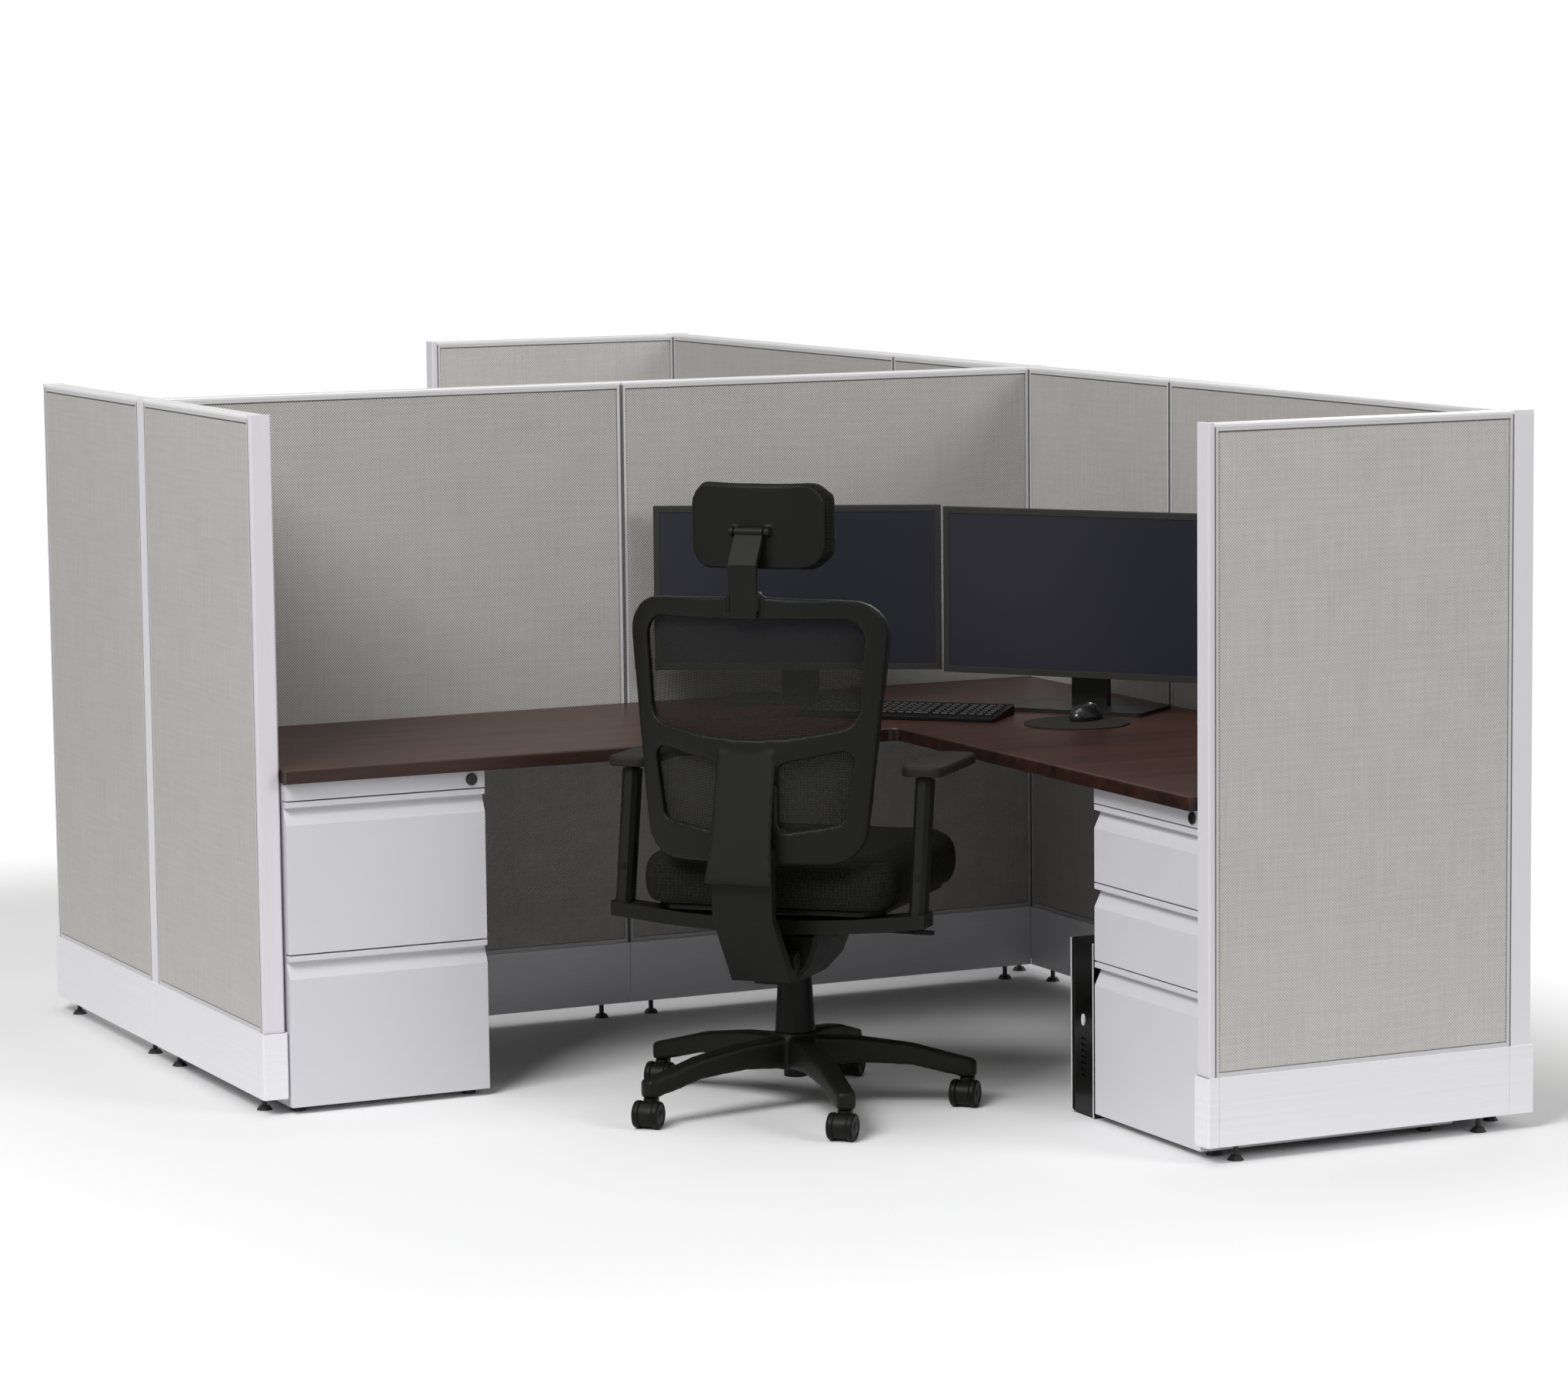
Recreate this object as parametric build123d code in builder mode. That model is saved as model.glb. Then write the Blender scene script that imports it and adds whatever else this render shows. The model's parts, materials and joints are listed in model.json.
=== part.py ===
from build123d import *
import os
from math import asin, cos, degrees, pi, radians, sin

# Two-person workstation cluster: a T of tall fabric panels, an L worksurface each side of the
# spine, two hanging-file pedestals, a task chair and the desk equipment of the near station.
# Millimetres, +Z up, the floor at z = 0. X runs along the spine, from the wing to the wall,
# and Y across it, with the near station on the -Y side.

os.makedirs("parts", exist_ok=True)

# Plan of the panel runs, between panel centrelines.
cluster_width = 2224.0
station_depth = 2075.0
wing_length = 722.0
return_length = 742.0
spine_joint = 1130.0
wall_joint = 698.0
joint_reveal = 3.0

# Panel construction.
panel_height = 1490.0
panel_thickness = 48.0
frame_width = 9.0
core_width = 30.0
core_thickness = 22.0
frame_bottom = 48.0
cap_height = 8.0
cap_lip = 1.5
cap_rounding = 2.0
tile_thickness = 11.0
tile_inset = 0.8
tile_gap = 0.5
tile_edge = 2.5
post_tab = 30.0
cover_skin = 3.0
end_cover_depth = 14.0
end_cover_rounding = 4.0

# Base raceway covers and levelling glides.
base_gap = 35.0
base_height = 142.0
base_thickness = 58.0
base_wall = 2.0
base_cap_length = 25.0
base_seam = 0.6
raceway_rail = 22.0
glide_inset = 62.0
glide_foot_radius = 18.0
glide_foot_height = 9.0
glide_taper = 35.0
glide_sides = 8
glide_stem_sides = 6
glide_stem_radius = 6.0

# Worksurfaces and their brackets.
desk_height = 742.0
desk_thickness = 30.0
desk_depth = 734.0
desk_gap = 2.0
desk_corner = 25.0
desk_edge_rounding = 3.0
bracket_reach = 540.0
bracket_root = 85.0
bracket_tip = 18.0
bracket_plate = 4.0
bracket_flange = 44.0

# Pedestals.
file_pedestal_width = 456.0
box_pedestal_width = 440.0
file_pedestal_setback = 23.0
box_pedestal_setback = 31.0
pedestal_depth = 600.0
pedestal_bottom = 15.0
pedestal_side_gap = 6.0
box_side_gap = 10.0
pedestal_wall = 3.0
pedestal_reveal = 1.5
header_height = 37.0
header_corner = 6.0
front_thickness = 20.0
front_case_gap = 2.0
front_gap = 3.0
front_side_reveal = 1.5
lip_height = 12.0
pull_depth = 15.0
pull_flat = 7.0
pull_slope = 31.0
box_drawer_height = 163.0
tray_wall = 2.5
tray_top_share = 0.62
tray_floor_gap = 14.0
slide_width = 5.6
slide_height = 38.0
slide_play = 0.4
slide_end_gap = 25.0
file_rail_width = 6.0
lock_radius = 13.0
lock_barrel_radius = 10.0
lock_face = 4.0
lock_clearance = 0.08
lock_edge_distance = 32.0
cam_length = 26.0
cam_width = 9.0
cam_thickness = 3.0
keyway_width = 2.4
keyway_height = 10.0
keyway_depth = 2.0
foot_radius = 16.0

# Sides given to small round forms.
round_sides = 24
barrel_sides = 12

# Chair: place and base.
chair_x = -95.0
chair_y = -1155.0
chair_turn = -45.5
leg_count = 5
caster_pitch_radius = 366.0
hub_radius = 46.0
hub_top = 165.0
hub_bottom = 84.0
leg_root_width = 56.0
leg_tip_width = 40.0
leg_rounding = 2.0
leg_reaches_share = (0, 0.38, 0.68, 0.9, 1.04)
leg_bottoms_share = (0.51, 0.585, 0.545, 0.42, 0.385)
leg_tops_share = (0.94, 0.9, 0.81, 0.68, 0.6)
socket_radius = 21.0
socket_depth = 30.0
stem_radius = 5.5
shaft_clearance = 0.06

# Casters.
wheel_radius = 29.0
wheel_sides = 16
wheel_width = 14.5
wheel_rounding = 4.0
hood_width = 28.0
hood_radius = 26.5
hood_gap = 0.5
caster_trail = 18.0
boss_radius = 16.0
axle_radius = 3.0
caster_height = 62.0
stem_end_gap = 1.0

# Gas spring and tilt mechanism.
spring_bore = 14.0
spring_body_radius = 25.0
spring_bottom = 66.0
sleeve_radius = 43.0
sleeve_taper = 3.4
sleeve_top = 281.0
piston_bottom = 90.0
mechanism_bottom = 284.0
mechanism_top = 398.0
mechanism_half_width = 98.0
mechanism_waist = 80.0
mechanism_foot = 42.0
mechanism_rear = 138.0
mechanism_front = 92.0
mechanism_edge = 8.0
pivot_height = 342.0
pivot_back = 166.0
pivot_boss_radius = 17.0
pivot_boss_half = 29.0
pivot_pin_radius = 6.0
pivot_ear = 22.0
pivot_gap = 0.5
fork_gap = 3.5
lever_height = 384.0
lever_forward = 20.0
lever_radius = 4.5
lever_swing = 3.0
lever_pin_radius = 2.5
lever_pin_half = 10.0
lever_pin_inset = 6.0
lever_length = 212.0
lever_socket = 20.0
paddle_length = 46.0
paddle_width = 22.0
paddle_thickness = 7.0

# Seat.
seat_width = 560.0
seat_depth = 530.0
seat_forward = 54.0
seat_corner = 80.0
seat_bottom = 456.0
seat_top = 562.0
seat_drops_share = (0.36, 0.12)
seat_insets_share = (0.5, 1.5)
seat_inset = 24.0
pan_thickness = 12.0
pan_inset = 30.0
pan_foot_inset = 120.0
spacer_half_width = 85.0

# Arms.
arm_half_span = 327.0
arm_back = 145.0
arm_lean = 10.7
arm_width = 34.0
arm_depth = 46.0
arm_corner = 9.0
arm_wall = 4.0
arm_play = 0.3
arm_bar_depth = 60.0
arm_bar_thickness = 30.0
arm_bar_low = 400.0
arm_bar_rise = 24.0
arm_bar_overhang = 22.0
arm_foot_half = 60.0
arm_foot = 445.0
arm_pad_top = 757.0
arm_pad_thickness = 22.0
arm_pad_length = 272.0
arm_pad_width = 90.0
arm_pad_corner = 24.0
arm_pad_edge = 5.0
arm_pad_forward = 96.0
arm_stem_depth = 90.0
arm_pad_lift = 7.0
arm_button_height = 78.0
arm_button_width = 9.0
arm_button_length = 15.0
arm_button_proud = 1.5
arm_button_depth = 3.0

# Back.
back_reach = 165.0
back_bottom = 563.0
back_height = 556.0
back_top_half = 292.0
back_bottom_half = 235.0
back_corner = 76.0
back_sagitta = 95.0
back_frame_thickness = 22.0
window_top = 508.0
window_bottom = 290.0
window_sag = 30.0
window_top_half = 243.0
window_bottom_half = 226.0
window_corner = 42.0
lower_window_top_out = 240.0
lower_window_top_in = 208.0
lower_window_bottom_out = 84.0
lower_window_bottom_in = 64.0
lower_window_outer = 222.0
lower_window_outer_low = 196.0
lower_window_inner = 66.0
lower_window_corner = 20.0
saddle_thickness = 9.0
mesh_thickness = 1.6
mesh_gap = 0.3
mesh_margin = 22.0
tongue_top = 236.0
tongue_bottom = -37.0
tongue_top_half = 64.0
tongue_half = 68.0
tongue_flare_half = 75.0
tongue_thickness = 11.0
tongue_top_back = 106.0
tongue_low_back = 168.0
spine_thickness = 26.0
spine_half_width = 66.0
spine_knee = 452.0
spine_knee_back = 290.0
spine_heel = 316.0
spine_heel_back = 205.0
spine_bend_radius = 34.0

# Headrest.
stem_width = 62.0
stem_thickness = 12.0
stem_bottom = 1074.0
stem_shoulder = 1180.0
stem_gap = 0.5
guide_wall = 5.0
guide_lip = 6.0
guide_lip_thickness = 3.0
guide_height = 34.0
headrest_pivot_height = 1250.0
headrest_pivot_back = 246.0
headrest_pin_radius = 5.0
headrest_pin_half = 46.0
headrest_knuckle_radius = 9.0
headrest_width = 292.0
headrest_height = 172.0
headrest_bottom = 1172.0
headrest_corner = 46.0
headrest_sagitta = 42.0
headrest_shell_thickness = 7.0
headrest_back = 229.0
headrest_pad_thickness = 40.0
headrest_pad_margin = 8.0
headrest_pad_crown = 16.0

# Monitors.
monitor_width = 665.0
monitor_height = 381.0
monitor_lift = 80.0
monitor_bezel = 15.0
monitor_thickness = 20.0
monitor_bulge = 24.0
monitor_bulge_share = 0.62
screen_recess = 2.0
screen_thickness = 1.6
screen_gap = 0.2
neck_width = 88.0
neck_thickness = 22.0
neck_back = 74.0
neck_top_share = 0.45
stand_width = 340.0
stand_depth = 190.0
stand_thickness = 9.0
stand_corner = 14.0
stand_back = 65.0
tilt_barrel_radius = 11.0
tilt_pin_radius = 4.0
tilt_ear = 14.0
left_monitor_x = 353.0
left_monitor_y = -256.0
left_monitor_turn = -29.8
right_monitor_x = 826.0
right_monitor_y = -728.0
right_monitor_turn = -52.9

# Keyboard, mouse, mouse pad and computer.
keyboard_x = 469.0
keyboard_y = -572.0
keyboard_turn = -44.5
keyboard_width = 470.0
keyboard_depth = 174.0
keyboard_front_height = 9.0
keyboard_back_height = 22.0
keyboard_corner = 8.0
key_rows = 6
key_block_columns = (15, 3, 4)
key_block_centres = (-3.9, 5.4, 9.2)
key_pitch = 19.6
key_gap = 3.0
key_height = 3.0
key_back_margin = 14.0
mouse_x = 772.0
mouse_y = -872.0
mouse_turn = -62.0
mouse_length = 104.0
mouse_width = 62.0
mouse_height = 37.0
mouse_heights_share = (0.45, 0.15)
mouse_cuts_share = (0.14, 0.12)
mouse_corner_share = 0.3
pad_x = 731.0
pad_y = -903.0
pad_radius = 118.0
pad_thickness = 3.0
tower_front_x = 392.0
tower_width = 98.0
tower_height = 375.0
tower_depth = 400.0
tower_gap = 10.0
tower_corner = 4.0
tower_strip = 3.0
tower_foot_height = 4.0
tower_button_height = 205.0
tower_button_width = 15.0
tower_button_length = 25.0
tower_button_depth = 6.0
tower_button_proud = 2.0
vent_count = 7
vent_top = 165.0
vent_pitch = 13.0
vent_width = 22.0
vent_slot = 4.0
vent_depth = 3.0

overrun = 1.0

# Values worked out from the driving sizes.
half_width = cluster_width / 2
half_panel = panel_thickness / 2
half_base = base_thickness / 2
base_top = base_gap + base_height
frame_top = panel_height - cap_height
cover_overlap = half_base - half_panel
desk_under = desk_height - desk_thickness
desk_front = half_panel + desk_depth
row = Plane.XY


def turned(base, direction):
    """A direction of a local frame, in the row frame."""
    return base.from_local_coords(Vector(*direction)) - base.origin


def oriented(base, point, x_dir, z_dir):
    """A sketch plane at a point of a local frame, with directions of that frame."""
    return Plane(
        origin=base.from_local_coords(Vector(*point)),
        x_dir=turned(base, x_dir),
        z_dir=turned(base, z_dir),
    )


def level(base, x, y, z):
    """A level sketch plane."""
    return oriented(base, (x, y, z), (1, 0, 0), (0, 0, 1))


def upright(base, x, y, z):
    """An upright sketch plane across the frame, seen from its -y side: right, up."""
    return oriented(base, (x, y, z), (1, 0, 0), (0, -1, 0))


def sideways(base, x, y, z):
    """An upright sketch plane along the frame, seen from its +x side: forward, up."""
    return oriented(base, (x, y, z), (0, 1, 0), (1, 0, 0))


def oval(half_width, half_height):
    """An upright oval outline as a many-sided face."""
    steps = [2 * pi * number / round_sides for number in range(round_sides)]
    with BuildSketch() as sketch:
        with BuildLine():
            Polyline(*[(half_width * cos(a), half_height * sin(a)) for a in steps], close=True)
        make_face()
    return sketch.sketch


def standing(x, y, turn):
    """A local frame that stands on the floor, turned about Z."""
    return Plane(origin=(x, y, 0), x_dir=(cos(radians(turn)), sin(radians(turn)), 0), z_dir=(0, 0, 1))


def save(part, name):
    part.label = name
    export_step(part, f"parts/{name}.step")


# Panel runs: each is a frame along the panel, with its start and length, and whether the
# start or the end meets a post or stands free.
def run(x, y, turn, start, end, start_kind, end_kind):
    line = standing(x, y, turn)
    origin = line.from_local_coords(Vector(start, 0, 0))
    return {
        "frame": standing(origin.X, origin.Y, turn),
        "length": end - start,
        "start": start_kind,
        "end": end_kind,
    }


half_reveal = joint_reveal / 2
wing_end = wing_length - end_cover_depth
return_end = return_length - end_cover_depth
wing_runs = [run(-half_width, 0, turn, half_panel, wing_end, "post", "free") for turn in (-90, 90)]
spine_runs = [
    run(-half_width, 0, 0, half_panel, spine_joint - half_reveal, "post", "joint"),
    run(-half_width, 0, 0, spine_joint + half_reveal, cluster_width - half_panel, "joint", "post"),
]
wall_runs = []
for turn in (-90, 90):
    wall_runs.append(run(half_width, 0, turn, half_panel, wall_joint - half_reveal, "post", "joint"))
    wall_end = station_depth - half_panel
    wall_runs.append(run(half_width, 0, turn, wall_joint + half_reveal, wall_end, "joint", "post"))
return_runs = [
    run(half_width, side * station_depth, 180, half_panel, return_end, "post", "free") for side in (-1, 1)
]
side_runs = wing_runs + return_runs
all_runs = side_runs + spine_runs + wall_runs

# Posts: the directions in which a panel joins each, and those that stay exposed.
posts = [
    {"at": (-half_width, 0), "joined": ((0, -1), (0, 1), (1, 0)), "exposed": ((-1, 0),)},
    {"at": (half_width, 0), "joined": ((0, -1), (0, 1), (-1, 0)), "exposed": ((1, 0),)},
    {"at": (half_width, -station_depth), "joined": ((0, 1), (-1, 0)), "exposed": ((0, -1), (1, 0))},
    {"at": (half_width, station_depth), "joined": ((0, -1), (-1, 0)), "exposed": ((0, 1), (1, 0))},
]


def panel_frames(runs):
    """Welded panel frames: a bright perimeter round the tiles over a thinner core frame."""
    height = frame_top - frame_bottom
    window_base = base_top + frame_width
    with BuildPart() as frames:
        for panel in runs:
            length = panel["length"]
            with BuildSketch(upright(panel["frame"], length / 2, 0, frame_bottom)):
                with Locations((0, height / 2)):
                    Rectangle(length, height)
                with Locations((0, (window_base + frame_top - frame_width) / 2 - frame_bottom)):
                    Rectangle(
                        length - 2 * frame_width,
                        frame_top - frame_width - window_base,
                        mode=Mode.SUBTRACT,
                    )
                with Locations((0, (base_top - frame_bottom) / 2)):
                    Rectangle(
                        length - 2 * core_width,
                        base_top - frame_bottom - 2 * raceway_rail,
                        mode=Mode.SUBTRACT,
                    )
            extrude(amount=half_panel, both=True)
            with BuildSketch(upright(panel["frame"], length / 2, 0, window_base)):
                opening = frame_top - frame_width - window_base
                with Locations((0, opening / 2)):
                    Rectangle(length - 2 * frame_width, opening)
                    Rectangle(length - 2 * core_width, opening - 2 * core_width, mode=Mode.SUBTRACT)
            extrude(amount=core_thickness / 2, both=True)
    return frames.part


def fabric_tiles(runs):
    """Fabric-wrapped tiles, one on each face of each panel, set into the frame."""
    window_base = base_top + frame_width
    opening = frame_top - frame_width - window_base
    face = half_panel - tile_inset
    with BuildPart() as tiles:
        for panel in runs:
            length = panel["length"]
            width = length - 2 * frame_width - 2 * tile_gap
            for side in (-1, 1):
                plane = oriented(
                    panel["frame"],
                    (length / 2, side * (face - tile_thickness), window_base + opening / 2),
                    (-side, 0, 0),
                    (0, side, 0),
                )
                with BuildSketch(plane):
                    Rectangle(width, opening - 2 * tile_gap)
                extrude(amount=tile_thickness - tile_edge)
                with BuildSketch(plane.offset(tile_thickness - tile_edge)):
                    Rectangle(width, opening - 2 * tile_gap)
                extrude(amount=tile_edge, taper=45)
    return tiles.part


def connector_posts():
    """Corner and T posts with clip-on covers, and the draw strips of the in-line joints."""
    height = frame_top - frame_bottom
    inner_half = half_panel - cover_skin
    with BuildPart() as connectors:
        for post in posts:
            here = standing(*post["at"], 0)
            with BuildSketch(level(here, 0, 0, frame_bottom)):
                Rectangle(2 * inner_half, 2 * inner_half)
                for dx, dy in post["joined"]:
                    with Locations((dx * (inner_half + cover_skin / 2), dy * (inner_half + cover_skin / 2))):
                        Rectangle(
                            cover_skin if dx else post_tab,
                            cover_skin if dy else post_tab,
                        )
            extrude(amount=height)
            with BuildSketch(level(here, 0, 0, base_top)):
                for dx, dy in post["exposed"]:
                    with Locations((dx * (inner_half + cover_skin / 2), dy * (inner_half + cover_skin / 2))):
                        Rectangle(
                            cover_skin if dx else panel_thickness,
                            cover_skin if dy else panel_thickness,
                        )
            extrude(amount=frame_top - base_top)
        for panel in all_runs:
            if panel["end"] == "joint":
                with BuildSketch(level(panel["frame"], panel["length"] + half_reveal, 0, frame_bottom)):
                    Rectangle(joint_reveal, post_tab)
                extrude(amount=height)
    return connectors.part


def top_caps():
    """Extruded caps along the panel tops, with a slightly taller cap on each post."""
    with BuildPart() as caps:
        for panel in all_runs:
            length = panel["length"]
            with BuildSketch(sideways(panel["frame"], 0, 0, frame_top)):
                with BuildLine():
                    half = half_panel
                    top = cap_height - cap_lip
                    Polyline(
                        (-half, 0),
                        (half, 0),
                        (half, top - cap_rounding),
                        (half - cap_rounding, top),
                        (cap_rounding - half, top),
                        (-half, top - cap_rounding),
                        close=True,
                    )
                make_face()
            extrude(amount=length)
        for post in posts:
            with BuildSketch(level(standing(*post["at"], 0), 0, 0, frame_top)):
                Rectangle(panel_thickness - base_seam, panel_thickness - base_seam)
            extrude(amount=cap_height)
    return caps.part


def end_covers():
    """Full-height covers that close the free ends of the wings and returns."""
    with BuildPart() as covers:
        for panel in side_runs:
            centre = panel["length"] + end_cover_depth / 2
            with BuildSketch(level(panel["frame"], centre, 0, base_top)):
                Rectangle(end_cover_depth, panel_thickness)
                chamfer(vertices().sort_by(Axis.X)[-2:], end_cover_rounding)
            extrude(amount=panel_height - base_top)
    return covers.part


def base_covers():
    """Channel-shaped raceway covers along both faces, with post plates and free-end caps."""
    with BuildPart() as covers:
        for panel in all_runs:
            start = cover_overlap + base_seam if panel["start"] == "post" else base_seam - half_reveal
            trim = {"post": cover_overlap + base_seam, "joint": base_seam - half_reveal}
            trim["free"] = base_cap_length - end_cover_depth - cover_overlap + base_seam
            length = panel["length"] - start - trim[panel["end"]]
            for side in (-1, 1):
                with BuildSketch(sideways(panel["frame"], start, 0, base_gap)):
                    with Locations((side * (half_panel + cover_overlap / 2), base_height / 2)):
                        Rectangle(cover_overlap, base_height)
                    with Locations((side * (half_panel + (cover_overlap - base_wall) / 2), base_height / 2)):
                        Rectangle(
                            cover_overlap - base_wall,
                            base_height - 2 * base_wall,
                            mode=Mode.SUBTRACT,
                        )
                extrude(amount=length)
        for post in posts:
            with BuildSketch(level(standing(*post["at"], 0), 0, 0, base_gap)):
                for dx, dy in post["exposed"]:
                    middle = half_panel + cover_overlap / 2
                    with Locations((dx * middle, dy * middle)):
                        Rectangle(
                            cover_overlap if dx else base_thickness,
                            cover_overlap if dy else base_thickness,
                        )
            extrude(amount=base_height)
        for panel in side_runs:
            outer_end = panel["length"] + end_cover_depth + cover_overlap
            with BuildSketch(level(panel["frame"], outer_end - base_cap_length / 2, 0, base_gap)):
                Rectangle(base_cap_length, base_thickness)
                chamfer(vertices().sort_by(Axis.X)[-2:], end_cover_rounding)
                with Locations((-base_wall, 0)):
                    Rectangle(base_cap_length, panel_thickness, mode=Mode.SUBTRACT)
            extrude(amount=base_height)
    return covers.part


def levelling_glides():
    """Screw-in glides under the panel frames and fixed feet under the pedestals."""
    with BuildPart() as glides:
        for panel in all_runs:
            for along in (glide_inset, panel["length"] - glide_inset):
                point = panel["frame"].from_local_coords(Vector(along, 0, 0))
                with BuildSketch(Plane(point)):
                    RegularPolygon(glide_foot_radius, glide_sides)
                extrude(amount=glide_foot_height, taper=glide_taper)
                with BuildSketch(Plane(point)):
                    RegularPolygon(glide_stem_radius, glide_stem_sides)
                extrude(amount=frame_bottom)
        for pedestal in (file_pedestal, box_pedestal):
            inset = pedestal["width"] / 2 - 2 * foot_radius
            for x in (-inset, inset):
                for y in (3 * foot_radius, pedestal_depth - 3 * foot_radius):
                    with BuildSketch(level(pedestal["frame"], x, y, 0)):
                        RegularPolygon(foot_radius, glide_sides)
                    extrude(amount=pedestal_bottom)
    return glides.part


def worksurface(side):
    """An L-shaped laminate top on one side of the spine: -1 near, 1 far."""
    left = half_panel + desk_gap - half_width
    right = half_width - half_panel - desk_gap
    back = side * (half_panel + desk_gap)
    front = side * desk_front
    end = side * (station_depth - half_panel - desk_gap)
    inner = half_width - half_panel - desk_depth
    with BuildPart() as top:
        with BuildSketch(row.offset(desk_under)):
            with BuildLine():
                Polyline(
                    (left, back),
                    (right, back),
                    (right, end),
                    (inner, end),
                    (inner, front),
                    (left, front),
                    close=True,
                )
            make_face()
            corner = vertices().sort_by_distance((inner, front, 0))[0]
            fillet(corner, desk_corner)
        extrude(amount=desk_thickness)
        chamfer(edges().group_by(Axis.Z)[-1], desk_edge_rounding)
    return top.part


def worksurface_brackets():
    """Cantilever brackets hung from the slotted panel uprights, under both worksurfaces."""
    spine_x = spine_joint - half_width
    places = [
        standing(spine_x, -half_panel, -90),
        standing(spine_x, half_panel, 90),
        standing(half_width - half_panel, -wall_joint, 180),
        standing(half_width - half_panel, wall_joint, 180),
        standing(half_width - half_panel, station_depth - 3 * bracket_flange, 180),
        standing(half_panel - half_width + 2 * bracket_flange, half_panel, 90),
    ]
    with BuildPart() as brackets:
        for place in places:
            with BuildSketch(upright(place, 0, 0, desk_under - bracket_plate)):
                with BuildLine():
                    Polyline(
                        (0, 0),
                        (bracket_reach, 0),
                        (bracket_reach, -bracket_tip),
                        (bracket_tip, -bracket_root),
                        (0, -bracket_root),
                        close=True,
                    )
                make_face()
            extrude(amount=bracket_plate / 2, both=True)
            with BuildSketch(level(place, bracket_reach / 2, 0, desk_under - bracket_plate)):
                Rectangle(bracket_reach, bracket_flange)
            extrude(amount=bracket_plate)
    return brackets.part


# Pedestals stand under the open ends of the near worksurface. In a pedestal's frame +x is
# right and +y runs from its front into its depth.
file_pedestal = {
    "width": file_pedestal_width,
    "frame": Plane(
        origin=(
            half_panel + pedestal_side_gap + file_pedestal_width / 2 - half_width,
            file_pedestal_setback - desk_front,
            0,
        ),
        x_dir=(1, 0, 0),
        z_dir=(0, 0, 1),
    ),
}
box_pedestal = {
    "width": box_pedestal_width,
    "frame": Plane(
        origin=(
            half_width - half_panel - desk_depth + box_pedestal_setback,
            half_panel + box_side_gap + box_pedestal_width / 2 - station_depth,
            0,
        ),
        x_dir=(0, -1, 0),
        z_dir=(0, 0, 1),
    ),
}
drawer_zone = desk_under - pedestal_reveal - header_height - pedestal_bottom
file_drawer_height = (drawer_zone - 2 * front_gap) / 2
low_drawer_height = drawer_zone - 3 * front_gap - 2 * box_drawer_height
case_front = front_thickness + front_case_gap
rail_length = pedestal_depth - case_front - pedestal_wall - slide_end_gap
lock_height = desk_under - pedestal_reveal - header_height / 2


def drawer_rows(heights):
    """The bottom heights of drawers that are stacked down from the header."""
    bottoms = []
    top = desk_under - pedestal_reveal - header_height
    for height in heights:
        top -= front_gap + height
        bottoms.append(top)
    return bottoms


file_rows = list(zip(drawer_rows([file_drawer_height] * 2), [file_drawer_height] * 2))
box_heights = [box_drawer_height, box_drawer_height, low_drawer_height]
box_rows = list(zip(drawer_rows(box_heights), box_heights))


def slide_centre(bottom, height):
    return bottom + height * tray_top_share / 2 + tray_floor_gap / 2


def pedestal_case(pedestal, rows):
    """Folded steel case with its lock header and the fixed halves of the drawer slides."""
    base = pedestal["frame"]
    width = pedestal["width"]
    height = desk_under - pedestal_bottom
    inner = width / 2 - pedestal_wall
    with BuildPart() as case:
        with BuildSketch(upright(base, 0, case_front, pedestal_bottom)):
            with Locations((0, height / 2)):
                Rectangle(width, height)
        extrude(amount=case_front - pedestal_depth)
        with BuildSketch(upright(base, 0, case_front, pedestal_bottom)):
            with Locations((0, height / 2)):
                Rectangle(2 * inner, height - 2 * pedestal_wall)
        extrude(amount=case_front + pedestal_wall - pedestal_depth, mode=Mode.SUBTRACT)
        with BuildSketch(upright(base, 0, 0, desk_under - pedestal_reveal - header_height)):
            with Locations((0, header_height / 2)):
                Rectangle(width - 2 * front_side_reveal, header_height)
            fillet(vertices().sort_by(Axis.Y)[-2:], header_corner)
        extrude(amount=-case_front)
        with BuildSketch(upright(base, width / 2 - lock_edge_distance, 0, lock_height)):
            RegularPolygon(lock_barrel_radius + lock_clearance, round_sides, major_radius=False)
        extrude(amount=-case_front, mode=Mode.SUBTRACT)
        for bottom, drawer_height in rows:
            for side in (-1, 1):
                along = case_front + rail_length / 2
                with BuildSketch(upright(base, 0, case_front, slide_centre(bottom, drawer_height))):
                    with Locations((side * (inner - file_rail_width / 2), 0)):
                        Rectangle(file_rail_width, slide_height)
                extrude(amount=-rail_length)
    return case.part


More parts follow.
